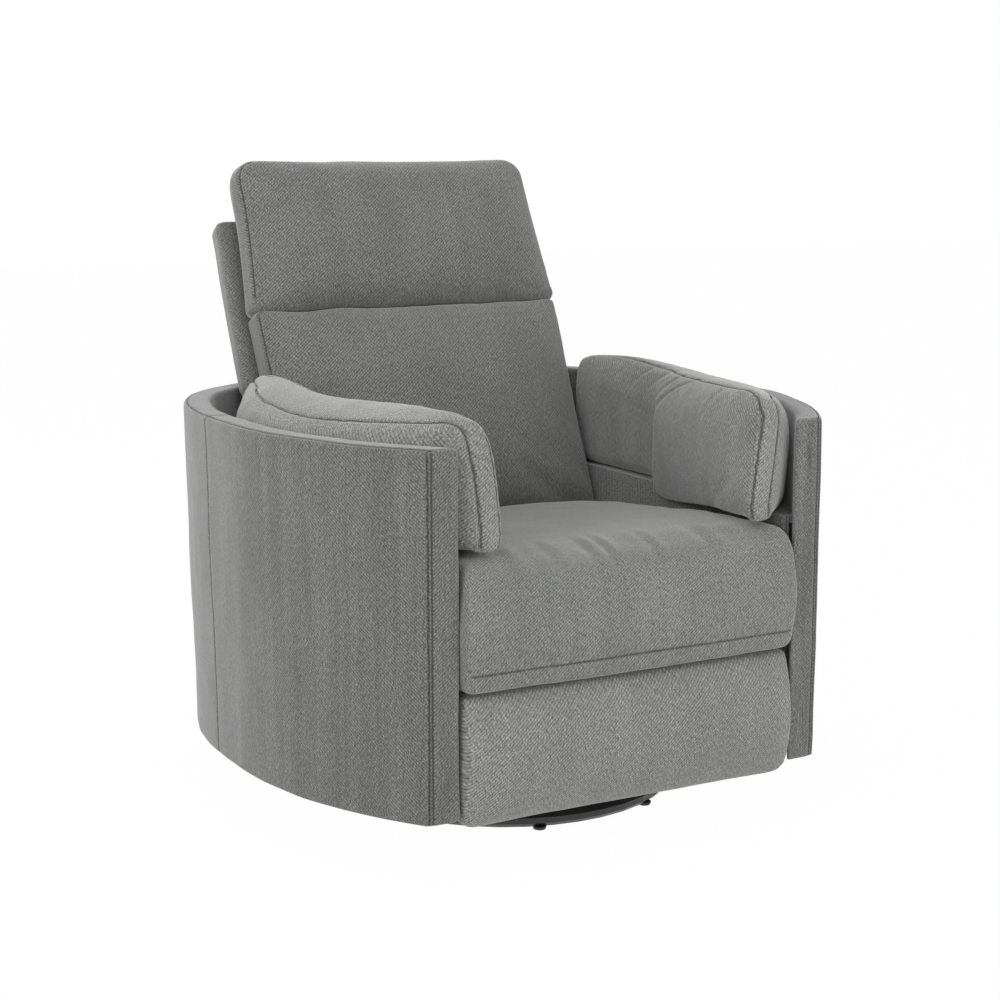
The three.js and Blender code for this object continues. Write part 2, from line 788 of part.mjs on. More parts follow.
// Slide channel on each side plate, and the runner that slides in it.
const channelX = sidePlateOuter + seatGap;
const channelTip = channelX + channelWidth;
const slideChannel = runAlongY([
  [channelX, channelBottom], [channelTip, channelBottom], [channelTip, channelBottom + channelWall],
  [channelX + channelWall, channelBottom + channelWall],
  [channelX + channelWall, channelTop - channelWall], [channelTip, channelTop - channelWall],
  [channelTip, channelTop], [channelX, channelTop],
], channelFrontY, channelRearY);

const runnerX = channelX + channelWall + sideGap;
const runnerLow = channelBottom + channelWall + sideGap;
const runnerHigh = channelTop - channelWall - sideGap;
const webX = channelTip + sideGap;
const footHole = holeFor(pinRadius);
const footEarOuter = footEarX + plateThickness;
const lowerLinkX = [footEarOuter + sideGap, footEarOuter + sideGap + linkThickness];
const upperLinkX = lowerLinkX.map((x) => x + linkThickness + sideGap);

function footEar() {
  const shape = new THREE.Shape();
  const low = footPivotZ;
  shape.moveTo(footPivotY - footEarHalfY, flangeLow + overrun);
  shape.lineTo(footPivotY - footEarDrop, low);
  shape.absarc(footPivotY, low, footEarDrop, Math.PI, Math.PI * 2, false);
  shape.lineTo(footPivotY + footEarHalfY, flangeLow + overrun);
  shape.closePath();
  return sidePlate(shape, footEarX, footEarOuter);
}

const seatRunner = join(
  runAlongY([
    [runnerX, runnerLow], [webX + runnerWeb, runnerLow], [webX + runnerWeb, flangeLow],
    [runnerFlangeX, flangeLow], [runnerFlangeX, flangeTop], [webX, flangeTop],
    [webX, runnerHigh], [runnerX, runnerHigh],
  ], runnerFrontY, runnerRearY),
  footEar(),
  headedPin(pinRadius, headRadius, footEarX + overrun, lowerLinkX[1] + sideGap,
    footPivotY, footPivotZ));

// Seat frame: side rails that end in an ear and pin for the back, and front and rear rails.
const apronRearY = seatFrontY + apronDepth;
const railFrontY = apronRearY + softGap;
const backEarOuter = backEarX + plateThickness;
const backHingeX = [backEarOuter + sideGap, backEarOuter + sideGap + linkThickness];
const earRadius = backPinHead + overrun;
const backEarShape = linkShape(
  [backPivotY - earRadius, railTop], [backPivotY, backPivotZ], earRadius, []);
const sideRail = join(
  block([railInnerX, railFrontY, railBottom], [railHalfX, railRearY, railTop]),
  cut(
    sidePlate(backEarShape, backEarX, backEarOuter),
    block(
      [backEarX - overrun, railFrontY, railBottom - railHeight],
      [backEarOuter + overrun, railRearY, railTop - overrun])),
  headedPin(backPinRadius, backPinHead, backEarX + overrun, backHingeX[1] + sideGap,
    backPivotY, backPivotZ));

const crossRailX = railInnerX - seatGap;
const frontRail = block(
  [-crossRailX, railFrontY, railBottom], [crossRailX, railFrontY + railWidth, railTop]);
const rearRail = block(
  [-crossRailX, rearRailY, railBottom], [crossRailX, rearRailY + railWidth, railTop]);

// A sinuous spring: flat wire waves from the front rail to the rear rail.
const springSides = 5;
const stepsPerTurn = 6;
const springEndShare = 0.25;

function sinuousSpring() {
  const low = railFrontY + railWidth * springEndShare;
  const high = rearRailY + railWidth * (1 - springEndShare);
  const path = [];
  for (let i = 0; i <= springTurns * stepsPerTurn; i += 1) {
    const turn = i / stepsPerTurn * Math.PI * 2;
    const y = low + (high - low) * i / springTurns / stepsPerTurn;
    path.push(new THREE.Vector3(springWidth / 2 * Math.sin(turn), y, 0));
  }
  const rings = path.map((point, i) => {
    const before = path[Math.max(i - 1, 0)];
    const after = path[Math.min(i + 1, path.length - 1)];
    const across = after.clone().sub(before).normalize().cross(new THREE.Vector3(0, 0, 1));
    const ring = [];
    for (let j = 0; j < springSides; j += 1) {
      const angle = (j + 0.5) / springSides * Math.PI * 2;
      const reach = springWire / 2 * Math.cos(angle);
      const rise = springWire / 2 * Math.sin(angle);
      ring.push([point.x + across.x * reach, point.y + across.y * reach, rise]);
    }
    return ring;
  });
  return loft(rings);
}

// Seat cushion: a side profile run across the seat, crowned in the middle.
const seatSteps = 20;
const seatSideShares = [[0, 0.82, 0.972], [0.012, 0.9, 0.985], [0.035, 0.965, 0.995], [0.07, 1, 1]];
const seatTopShares = [0.25, 0.5, 0.75];
const seatWaistShare = 0.018;
const seatSideDepthShare = 0.7;
const roundSteps = 4;
const apronSteps = 2;

function seatProfile(crown) {
  const top = seatTop + crown;
  const points = [[seatRearY, seatPadBottom]];
  const corner = (y, z, radius, start, steps) => {
    for (let i = 0; i <= steps; i += 1) {
      const angle = start + i / steps * Math.PI / 2;
      points.push([y + radius * Math.cos(angle), z + radius * Math.sin(angle)]);
    }
  };
  corner(seatRearY - seatCorner, seatTop - seatCorner, seatCorner, 0, roundSteps);
  for (const share of seatTopShares) {
    const y = seatRearY + (seatFrontY - seatRearY) * share;
    points.push([y, seatTop + crown * Math.sqrt(Math.sin(share * Math.PI))]);
  }
  const nose = seatNoseRadius + crown / 2;
  corner(seatFrontY + nose, top - crown / 2 - nose, nose, Math.PI / 2, roundSteps);
  const stitchZ = apronBottom + stitchHeight;
  points.push([seatFrontY, (top + stitchZ) / 2], [seatFrontY, stitchZ + stitchDepth * 2]);
  points.push([seatFrontY + stitchDepth, stitchZ], [seatFrontY, stitchZ - stitchDepth * 2]);
  corner(seatFrontY + apronRoll, apronBottom + apronRoll, apronRoll, Math.PI, apronSteps);
  corner(apronRearY - apronRoll, apronBottom + apronRoll, apronRoll, Math.PI * 1.5, apronSteps);
  points.push([apronRearY, seatPadBottom]);
  return points;
}

function seatRing(x, high, deep) {
  const share = x / seatHalf;
  const crown = seatCrown * (1 - share ** 2);
  const centreY = seatFrontY + apronDepth * seatSideDepthShare;
  const centreZ = (seatPadBottom + seatTop) / 2;
  return seatProfile(crown).map(([y, z]) => {
    const place = (y - seatFrontY) / (seatRearY - seatFrontY);
    const waist = 1 - seatWaistShare * Math.sin(place * Math.PI);
    const newY = centreY + (y - centreY) * deep;
    const newZ = z > centreZ ? centreZ + (z - centreZ) * high : centreZ + (z - centreZ) * deep;
    return [x * waist, newY, Math.max(newZ, z < seatPadBottom ? apronBottom : seatPadBottom)];
  });
}

function seatCushion() {
  const rings = [];
  for (const [share, high, deep] of seatSideShares) {
    rings.push(seatRing(-seatHalf * (1 - share), high, deep));
  }
  const inner = 1 - seatSideShares[seatSideShares.length - 1][0];
  for (let i = 1; i < seatSteps; i += 1) {
    rings.push(seatRing(seatHalf * inner * (2 * i / seatSteps - 1), 1, 1));
  }
  for (const [share, high, deep] of [...seatSideShares].reverse()) {
    rings.push(seatRing(seatHalf * (1 - share), high, deep));
  }
  return loft(rings);
}

const padSideSteps = 5;

// The outline of a pad in X and Z: round corners and sides that draw in between them.
function padOutline({ low, high, lowHalf, highHalf, lowRadius, highRadius, draw }) {
  const points = [];
  const corners = [
    [lowHalf - lowRadius, low + lowRadius, lowRadius, -Math.PI / 2],
    [highHalf - highRadius, high - highRadius, highRadius, 0],
    [highRadius - highHalf, high - highRadius, highRadius, Math.PI / 2],
    [lowRadius - lowHalf, low + lowRadius, lowRadius, Math.PI],
  ];
  corners.forEach(([x, z, radius, start], i) => {
    for (let j = 0; j <= roundSteps; j += 1) {
      const angle = start + j / roundSteps * Math.PI / 2;
      points.push([x + radius * Math.cos(angle), z + radius * Math.sin(angle)]);
    }
    const next = corners[(i + 1) % corners.length];
    const end = next[3];
    const from = points[points.length - 1];
    const to = [next[0] + next[2] * Math.cos(end), next[1] + next[2] * Math.sin(end)];
    for (let j = 1; j < padSideSteps; j += 1) {
      const share = j / padSideSteps;
      const pull = draw * Math.sin(share * Math.PI);
      const inX = i % 2 === 0 ? pull * Math.sign(x) : 0;
      const inZ = i % 2 === 1 ? pull * Math.sign(i - 2) : 0;
      points.push([
        from[0] + (to[0] - from[0]) * share - inX, from[1] + (to[1] - from[1]) * share + inZ]);
    }
  });
  return points;
}

// A boxed pad: a flat rear face, sides that swell a little, and a crowned front face.
const padRingShares = [0.975, 0.92, 0.82, 0.66, 0.45, 0.22];
const rearEdgeShare = 0.15;
const edgePower = 16;
const crownPower = 4;

function boxedPad(sizes) {
  const { low, high, rear, seam, crown, swell, lowWeight } = sizes;
  const outline = padOutline(sizes);
  const middle = (low + high) / 2;
  const half = (high - low) / 2;
  const ring = (share, y, grow) => outline.map(([x, z]) => {
    const k = share + grow / Math.hypot(x, z - middle);
    return [x * k, y, middle + (z - middle) * k];
  });
  const rings = [
    ring(1, rear, -swell), ring(1, rear + (seam - rear) * rearEdgeShare, 0),
    ring(1, (rear + seam) / 2, swell), ring(1, seam, 0),
  ];
  for (const share of padRingShares) {
    const edge = Math.sqrt(1 - share ** edgePower);
    const face = ring(share, seam, 0);
    rings.push(face.map(([x, y, z]) => {
      const across = 1 - (x / sizes.lowHalf) ** crownPower;
      const up = 1 - ((z - middle) / half) ** crownPower;
      const weight = 1 + lowWeight * (middle - z) / half;
      return [x, y - crown * edge * weight * Math.sqrt(across * up), z];
    }));
  }
  return loft(rings);
}

// Backrest pieces, in a frame that leans with the back.
const lean = rad(backLeanAngle);
const frameFront = boxing + seatGap;
const frameRear = frameFront + backThickness;
const frameCornerSteps = 2;
const pivotDepth = (backPivotY - backPlaneY) * Math.cos(lean) - backPivotZ * Math.sin(lean);
const pivotRise = (backPivotY - backPlaneY) * Math.sin(lean) + backPivotZ * Math.cos(lean);

function backFrame() {
  const section = (inset, z) => {
    const points = [];
    const radius = backFrameCorner;
    [[1, -1, -Math.PI / 2], [1, 1, 0], [-1, 1, Math.PI / 2], [-1, -1, Math.PI]]
      .forEach(([sideX, sideY, start]) => {
        const x = sideX * (backHalf - inset - radius);
        const y = (frameFront + frameRear) / 2 + sideY * (backThickness / 2 - inset - radius);
        for (let j = 0; j <= frameCornerSteps; j += 1) {
          const angle = start + j / frameCornerSteps * Math.PI / 2;
          points.push([x + radius * Math.cos(angle), y + radius * Math.sin(angle), z]);
        }
      });
    return points;
  };
  const edge = backFrameCorner / 2;
  return loft([
    section(edge, backFrameLow), section(0, backFrameLow + edge),
    section(0, (backFrameLow + backFrameHigh) / 2),
    section(0, backFrameHigh - edge), section(edge, backFrameHigh),
  ]);
}

const lumbarLowShare = 0.14;
const headLowShare = 0.1;

const lumbarCushion = boxedPad({
  low: lumbarLow, high: headLow - headSwell - lumbarSwell - softGap,
  lowHalf: lumbarLowHalf, highHalf: lumbarHalf, lowRadius: lumbarLowRadius,
  highRadius: lumbarHighRadius, draw: lumbarDraw, rear: boxing, seam: 0, crown: lumbarCrown,
  swell: lumbarSwell, lowWeight: lumbarLowShare,
});

const headCushion = boxedPad({
  low: headLow, high: headHigh, lowHalf: headHalf, highHalf: headTopHalf,
  lowRadius: headLowRadius, highRadius: headHighRadius, draw: headDraw, rear: boxing, seam: 0,
  crown: headCrown, swell: headSwell, lowWeight: headLowShare,
});

function backHinge() {
  const shape = new THREE.Shape();
  const top = lumbarLow - overrun * 2;
  shape.absarc(pivotDepth, pivotRise, earRadius, rad(hingeStartAngle), rad(hingeEndAngle), false);
  shape.lineTo(boxing, backFrameLow + overrun);
  shape.lineTo(boxing, top);
  shape.closePath();
  const hole = new THREE.Path();
  hole.absarc(pivotDepth, pivotRise, holeFor(backPinRadius), 0, Math.PI * 2, true);
  shape.holes.push(hole);
  return sidePlate(shape, ...backHingeX);
}

// Footrest: links, board with its ears, and pad.
const toward = (start, length, angle) => [
  start[0] - length * Math.cos(angle), start[1] + length * Math.sin(angle)];
const footPivot = [footPivotY, footPivotZ];
const footKnee = toward(footPivot, footLowerLink, rad(footLowerAngle));
const footTip = toward(footKnee, footUpperLink, rad(footUpperAngle));

const lowerLink = join(
  sidePlate(linkShape(footPivot, footKnee, footLinkHalfWidth, [[footPivot, footHole]]),
    ...lowerLinkX),
  headedPin(pinRadius, headRadius, lowerLinkX[0] + overrun, upperLinkX[1] + sideGap, ...footKnee));

const upperLink = sidePlate(
  linkShape(footKnee, footTip, footLinkHalfWidth, [[footKnee, footHole], [footTip, footHole]]),
  ...upperLinkX);

const footBoardFrontY = footPadRearY + softGap;
const footBoardRearY = footBoardFrontY + footBoardThickness;

function footBoard() {
  const tipEnd = [footBoardFrontY + footBoardThickness / 2, footTip[1]];
  const ears = [-1, 1].flatMap((side) => [
    mirrored(sidePlate(linkShape(footTip, tipEnd, footLinkHalfWidth / 2, []), ...lowerLinkX), side),
    mirrored(headedPin(
      pinRadius, headRadius, lowerLinkX[0] + overrun, upperLinkX[1] + sideGap, ...footTip), side),
  ]);
  const panel = block(
    [footBoardInset - footHalf, footBoardFrontY, footBottom + footBoardInset],
    [footHalf - footBoardInset, footBoardRearY, footTop - footBoardInset / 2]);
  return join(panel, ...ears);
}

const footPad = boxedPad({
  low: footBottom, high: footTop, lowHalf: footHalf, highHalf: footHalf,
  lowRadius: footLowRadius, highRadius: footHighRadius, draw: footDraw, rear: footPadRearY,
  seam: footSeamY, crown: footCrown, swell: footSwell, lowWeight: 0,
});

// Release lever and its bezel.
const bezelLow = deckTop + seatGap;
const bezelTop = bezelLow + bezelHeight;
const releaseBezel = block(
  [bezelX - bezelWidth / 2, bezelY - bezelLength / 2, bezelLow],
  [bezelX + bezelWidth / 2, bezelY + bezelLength / 2, bezelTop]);
const leverLow = bezelTop + seatGap;
const releaseLever = join(
  block(
    [bezelX - leverWidth / 2, bezelY - leverLength / 2, leverLow],
    [bezelX + leverWidth / 2, bezelY + leverLength / 2, leverLow + leverThickness]),
  block(
    [bezelX - leverWidth / 2, bezelY - leverLength / 2, leverLow],
    [bezelX + leverWidth / 2, bezelY - leverLength / 2 + leverLip,
      leverLow + leverThickness + leverLip]));

// The chair, one group for each moving body.
const chair = new THREE.Group();

function body(parent = chair) {
  const group = new THREE.Group();
  parent.add(group);
  return group;
}

function add(group, name, geometry, material) {
  const mesh = new THREE.Mesh(tidy(geometry), material());
  mesh.name = name;
  group.add(mesh);
  return mesh;
}

function addPair(group, name, geometry, material) {
  add(group, `${name}_left`, geometry, material);
  add(group, `${name}_right`, mirrored(geometry, -1), material);
}

const base = body();
base.position.y = swivelY;
base.rotation.z = rad(baseTurn);
add(base, 'base_ring', baseRing, blackSteel);
add(base, 'base_cross', baseCross, blackSteel);
add(base, 'hub_plate', disc(hubRadius, hubBottom, hubBottom + hubThickness, pinHole), blackSteel);
const bearing = disc(bearingOuter, bearingBottom, bearingBottom + bearingHeight, bearingInner);
add(base, 'swivel_bearing', bearing, zincSteel);
add(base, 'swivel_pin', swivelPin, zincSteel);
for (let i = 0; i < glideCount; i += 1) {
  const glide = add(base, `floor_glide_${i + 1}`, glideFoot, blackPlastic);
  const angle = (i + 0.5) / glideCount * Math.PI * 2;
  glide.position.set(ringRadius * Math.cos(angle), ringRadius * Math.sin(angle), 0);
}

const turntable = body();
add(turntable, 'turntable_plate', turntablePlate, blackSteel).position.y = swivelY;
addPair(turntable, 'glider_bracket', gliderBracket, blackSteel);

addPair(body(), 'front_glide_link', glideLink(frontPivotY), blackSteel);
addPair(body(), 'rear_glide_link', glideLink(rearPivotY), blackSteel);

const carriage = body();
addPair(carriage, 'carriage_plate', carriagePlate, blackSteel);
add(carriage, 'front_crossbar', crossbar(frontBarY), plywood);
add(carriage, 'rear_crossbar', crossbar(rearBarY), plywood);
addPair(carriage, 'slide_channel', slideChannel, zincSteel);
addPair(carriage, 'shell_side', shellSide, chenille);
add(carriage, 'shell_rear', shellRear, chenille);
addPair(carriage, 'arm_inner_board', armInner, plywood);
addPair(carriage, 'arm_deck', armDeck, plywood);
addPair(carriage, 'arm_pillow', armPillow, chenille);
add(carriage, 'release_bezel', mirrored(releaseBezel, -1), blackPlastic);
add(body(), 'release_lever', mirrored(releaseLever, -1), blackPlastic);

const seat = body();
addPair(seat, 'seat_runner', seatRunner, zincSteel);
addPair(seat, 'seat_side_rail', sideRail, blackSteel);
add(seat, 'seat_front_rail', frontRail, blackSteel);
add(seat, 'seat_rear_rail', rearRail, blackSteel);
for (let i = 0; i < springCount; i += 1) {
  const spring = add(seat, `seat_spring_${i + 1}`, sinuousSpring(), springSteel);
  spring.position.x = crossRailX * ((2 * i + 1) / springCount - 1);
  spring.position.z = railTop + seatGap + springWire / 2;
}
add(seat, 'seat_cushion', seatCushion(), chenille);

const back = body();
back.position.y = backPlaneY;
back.rotation.x = -lean;
add(back, 'back_frame', backFrame(), chenille);
add(back, 'lumbar_cushion', lumbarCushion, chenille);
add(back, 'head_cushion', headCushion, chenille);
addPair(back, 'back_hinge', backHinge(), blackSteel);

addPair(body(), 'footrest_lower_link', lowerLink, blackSteel);
addPair(body(), 'footrest_upper_link', upperLink, blackSteel);
const footrest = body();
add(footrest, 'footrest_board', footBoard(), plywood);
add(footrest, 'footrest_pad', footPad, chenille);

export default chair;
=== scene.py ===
"""A swivel glider recliner: its upholstery, finishes and a plain studio, around the fixed frame.

Metres, +Z up. The sitter faces -Y, and left and right are the sitter's, so left is +X.
"""

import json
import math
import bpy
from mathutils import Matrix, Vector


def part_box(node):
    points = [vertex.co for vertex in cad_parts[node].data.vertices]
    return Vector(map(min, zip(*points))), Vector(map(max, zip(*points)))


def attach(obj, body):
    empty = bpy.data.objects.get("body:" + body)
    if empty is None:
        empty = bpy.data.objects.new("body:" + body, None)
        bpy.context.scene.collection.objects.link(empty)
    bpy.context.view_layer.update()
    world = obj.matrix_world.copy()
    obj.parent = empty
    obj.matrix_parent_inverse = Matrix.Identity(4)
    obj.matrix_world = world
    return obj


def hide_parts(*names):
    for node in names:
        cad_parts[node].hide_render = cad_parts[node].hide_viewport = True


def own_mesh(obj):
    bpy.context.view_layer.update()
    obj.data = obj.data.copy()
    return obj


bl_info = {
    "name": "Swivel Glider Recliner",
    "version": (1, 0, 0),
    "blender": (4, 5, 0),
    "location": "View3D > Sidebar > Recliner",
    "description": "Upholsters and finishes a swivel glider recliner",
    "category": "Add Mesh",
}

import bmesh
import bpy
import numpy as np
from bpy.props import FloatProperty, FloatVectorProperty, IntProperty, PointerProperty
from mathutils import Matrix, Vector, noise
from mathutils.bvhtree import BVHTree
from mathutils.kdtree import KDTree

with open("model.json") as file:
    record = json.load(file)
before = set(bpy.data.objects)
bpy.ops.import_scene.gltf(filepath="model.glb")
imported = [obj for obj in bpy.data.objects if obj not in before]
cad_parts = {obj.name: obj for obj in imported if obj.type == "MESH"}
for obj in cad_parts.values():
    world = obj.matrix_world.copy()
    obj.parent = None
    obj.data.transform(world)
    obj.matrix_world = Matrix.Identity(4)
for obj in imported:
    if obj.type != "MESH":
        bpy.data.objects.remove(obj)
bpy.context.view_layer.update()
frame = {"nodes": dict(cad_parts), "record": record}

SIDES = ("left", "right")

# The barrel shell's plan and wall.
side_low, side_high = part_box("shell_side_left")
HALF_WIDTH = side_high.x
FRONT_Y = side_low.y
REAR_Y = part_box("shell_rear")[1].y
SHELL_LOW = side_low.z
SHELL_TOP = side_high.z
WIDEST_Y = -0.085
WALL = 0.046
OUTER_FRONT_HALF = 0.3557
INNER_FRONT_HALF = 0.3020
FRONT_POWER = 1.72
REAR_POWER = 2.8
TAPER = 0.010
SEAM_Y = side_high.y

# The leaning back: its plane passes through the front seams.
LEAN = math.radians(24)
BACK_Y = -0.067
BOXING = 0.057
LEANING = Matrix.Translation((0, BACK_Y, 0)) @ Matrix.Rotation(-LEAN, 4, "X")


class ChairSizes(bpy.types.PropertyGroup):
    """Sizes of the upholstery that a user may change."""

    seam_depth: FloatProperty(name="Seam depth", description="How far a seam draws the cover in",
                              default=0.0028, min=0, max=0.01, unit="LENGTH")
    seam_width: FloatProperty(name="Seam width", description="Half the width of a seam's furrow",
                              default=0.0042, min=0.001, max=0.02, unit="LENGTH")
    thread_radius: FloatProperty(name="Thread radius", description="Half a seam thread's thickness",
                                 default=0.0005, min=0.0002, max=0.003, unit="LENGTH")
    stitch_length: FloatProperty(name="Stitch length", description="Length of one topstitch",
                                 default=0.0052, min=0.002, max=0.02, unit="LENGTH")
    skin_grid: FloatProperty(name="Skin grid", description="Grid of a cushion's skin as it fills",
                             default=0.0058, min=0.003, max=0.02, unit="LENGTH")
    air_pressure: FloatProperty(name="Air pressure", description="Pressure that fills the cushions",
                                default=4.0, min=0, max=20)
    fill_frames: IntProperty(name="Fill frames", description="Steps that a cushion takes to fill",
                             default=20, min=1, max=60)


class ChairColours(bpy.types.PropertyGroup):
    """Colours of the chair's finishes."""

    chenille: FloatVectorProperty(name="Chenille", description="Middle grey of the cover",
                                  default=(0.150, 0.152, 0.148), size=3, subtype="COLOR")
    thread: FloatVectorProperty(name="Thread", description="Seam thread",
                                default=(0.035, 0.036, 0.036), size=3, subtype="COLOR")
    black_steel: FloatVectorProperty(name="Black steel", description="Powder coat of the base",
                                     default=(0.012, 0.012, 0.013), size=3, subtype="COLOR")
    zinc: FloatVectorProperty(name="Zinc", description="Plated runners and bearing",
                              default=(0.45, 0.46, 0.47), size=3, subtype="COLOR")
    spring_wire: FloatVectorProperty(name="Spring wire", description="Oiled spring wire",
                                     default=(0.20, 0.20, 0.21), size=3, subtype="COLOR")
    plywood: FloatVectorProperty(name="Plywood", description="Bare plywood",
                                 default=(0.45, 0.29, 0.15), size=3, subtype="COLOR")
    plastic: FloatVectorProperty(name="Plastic", description="Glides, bezel and lever",
                                 default=(0.012, 0.012, 0.012), size=3, subtype="COLOR")
    floor: FloatVectorProperty(name="Floor", description="Pale studio floor",
                               default=(0.80, 0.80, 0.80), size=3, subtype="COLOR")


# Finishes.

class Finish:
    """A material, with short ways to add and join its nodes."""

    def __init__(self, name):
        self.material = bpy.data.materials.new(name)
        self.material.use_nodes = True
        self.tree = self.material.node_tree
        self.shader = self.tree.nodes["Principled BSDF"]

    def node(self, kind, values=None, **settings):
        made = self.tree.nodes.new("ShaderNode" + kind)
        for key, value in settings.items():
            setattr(made, key, value)
        for key, value in (values or {}).items():
            self.put(made.inputs[key], value)
        return made

    def put(self, socket, value):
        if isinstance(value, bpy.types.NodeSocket):
            self.tree.links.new(value, socket)
        elif hasattr(value, "__len__") and socket.type == "RGBA" and len(value) == 3:
            socket.default_value = (*value, 1)
        else:
            socket.default_value = value

    def math(self, operation, first, second=0.0, third=0.0):
        values = {0: first, 1: second, 2: third}
        return self.node("Math", values, operation=operation).outputs[0]

    def noise(self, vector, scale, detail=2.0, rough=0.5, distortion=0.0):
        values = {"Vector": vector, "Scale": scale, "Detail": detail, "Roughness": rough,
                  "Distortion": distortion}
        return self.node("TexNoise", values).outputs["Fac"]

    def wave(self, vector, pitch, direction="X", distortion=0.0):
        """Bands a pitch apart: the texture's own waves are a twentieth of its scale apart."""
        values = {"Vector": vector, "Scale": math.pi / 10 / pitch, "Distortion": distortion,
                  "Detail": 1.0, "Detail Scale": 1.0}
        made = self.node("TexWave", values, bands_direction=direction)
        return made.outputs["Fac"]

    def place(self, vector, scale=(1, 1, 1), turn=0.0):
        values = {"Vector": vector, "Scale": scale, "Rotation": (0, 0, turn)}
        return self.node("Mapping", values).outputs[0]

    def around(self, value, reach):
        """A noise or wave, from 0 to 1, as a factor round 1 that stays above 0."""
        return self.math("MAXIMUM", self.math("MULTIPLY_ADD", value, 2 * reach, 1 - reach), 0.05)

    def shade(self, color, *factors):
        """A colour times each factor."""
        product = factors[0]
        for factor in factors[1:]:
            product = self.math("MULTIPLY", product, factor)
        grey = self.node("CombineColor", {0: product, 1: product, 2: product}).outputs[0]
        mixed = self.node("Mix", data_type="RGBA", blend_type="MULTIPLY")
        self.put(mixed.inputs["Factor"], 1.0)
        self.put(mixed.inputs["A"], color)
        self.put(mixed.inputs["B"], grey)
        return mixed.outputs["Result"]

    def bump(self, height, distance, strength=1.0, under=None):
        values = {"Height": height, "Distance": distance, "Strength": strength}
        if under is not None:
            values["Normal"] = under
        return self.node("Bump", values).outputs[0]

    def finish(self, **values):
        for key, value in values.items():
            self.put(self.shader.inputs[key.replace("_", " ").title().replace("Ior", "IOR")], value)
        return self.material


# The cloth's scales of grain and yarn, and the pitches and turn of its twill ribs and their picks.
GRAIN_SCALE = 520
YARN_SCALE = 400
RIB_PITCH = 0.0042
PICK_PITCH = 0.0062
RIB_TURN = math.radians(50)
# How much the painted shade in a seam's furrow darkens the cloth.
SEAM_PAINTED_SHADE = -0.68


def chenille(name, color, streaks, brushed=0.12, where="cloth"):
    """Brushed chenille: twill ribs, heathered yarn, streaks in the nap and painted shade along the
    seams.
    """
    finish = Finish(name)
    if where == "cloth":
        cloth = finish.node("UVMap", uv_map="cloth").outputs[0]
        # The seam attribute carries painted shade along each seam's furrow.
        seam = finish.node("Attribute", attribute_name="seam").outputs["Fac"]
    else:
        cloth = finish.node("TexCoord").outputs["Object"]
        seam = None
    grain = finish.noise(cloth, GRAIN_SCALE, 3.0, 0.75)
    heather = finish.noise(finish.place(cloth, (1, 0.35, 1), math.radians(45)), YARN_SCALE, 2.0, 0.6)
    ribs = finish.wave(finish.place(cloth, turn=RIB_TURN), RIB_PITCH, "X", 1.6)
    picks = finish.wave(finish.place(cloth, turn=RIB_TURN - math.pi / 2), PICK_PITCH, "X", 3.0)
    lines = finish.noise(finish.place(cloth, (130, 4, 4)), 1.0, 4.0, 0.7)
    bands = finish.noise(finish.place(cloth, (26, 1.4, 1.4)), 1.0, 2.0, 0.5)
    patches = finish.noise(cloth, 8.0, 2.0, 0.5, 0.6)
    factors = [
        finish.around(grain, 1.40), finish.around(heather, 1.10), finish.around(ribs, 0.27),
        finish.around(picks, 0.07), finish.around(lines, streaks), finish.around(bands, streaks * 0.8),
        finish.around(patches, brushed),
    ]
    # Painted shade: the cloth is darkened along each seam's furrow.
    if seam is not None:
        factors.append(finish.math("MULTIPLY_ADD", seam, SEAM_PAINTED_SHADE, 1.0))
    tint = finish.shade(color, *factors)
    weave = finish.math("MULTIPLY_ADD", ribs, 0.6, grain)
    fine = finish.bump(weave, 0.0007, 0.55)
    normal = finish.bump(lines, 0.0006, 0.25, fine)
    return finish.finish(base_color=tint, roughness=0.92, specular_ior_level=0.22,
                         sheen_weight=0.55, sheen_roughness=0.45, sheen_tint=(0.86, 0.87, 0.86),
                         normal=normal)


def seam_thread(color):
    finish = Finish("seam_thread")
    spot = finish.node("TexCoord").outputs["Object"]
    twist = finish.noise(spot, 1500, 2.0)
    return finish.finish(base_color=finish.shade(color, finish.around(twist, 0.35)), roughness=0.8,
                         normal=finish.bump(twist, 0.0003, 0.6))


def powder_coat(color):
    """Black satin coat with a fine orange peel, made lighter on its upward faces."""
    finish = Finish("black_powder_coat")
    spot = finish.node("TexCoord").outputs["Object"]
    peel = finish.noise(spot, 900, 2.0)
    smudge = finish.noise(spot, 14, 3.0, 0.6)
    up = finish.node("SeparateXYZ", {0: finish.node("NewGeometry").outputs["Normal"]}).outputs["Z"]
    # Faces that point up are made up to half as light again as the rest.
    upward_lightening = finish.math("MULTIPLY_ADD", finish.math("MAXIMUM", up, 0.0), 0.5, 1.0)
    tint = finish.shade(color, finish.around(smudge, 0.25), upward_lightening)
    rough = finish.math("MULTIPLY_ADD", smudge, 0.16, 0.30)
    return finish.finish(base_color=tint, roughness=rough, specular_ior_level=0.5,
                         normal=finish.bump(peel, 0.0002, 0.35))


def plated(name, color, grain_scale, roughness):
    """Plated or bare steel, with drawn lines along Y and cloudy plating."""
    finish = Finish(name)
    spot = finish.node("TexCoord").outputs["Object"]
    drawn = finish.noise(finish.place(spot, (grain_scale, 6, grain_scale)), 1.0, 3.0, 0.7)
    clouds = finish.noise(spot, 30, 3.0, 0.6)
    tint = finish.shade(color, finish.around(drawn, 0.16), finish.around(clouds, 0.12))
    rough = finish.math("MULTIPLY_ADD", drawn, 0.2, roughness - 0.1)
    return finish.finish(base_color=tint, metallic=0.9, roughness=rough,
                         normal=finish.bump(drawn, 0.0001, 0.3))


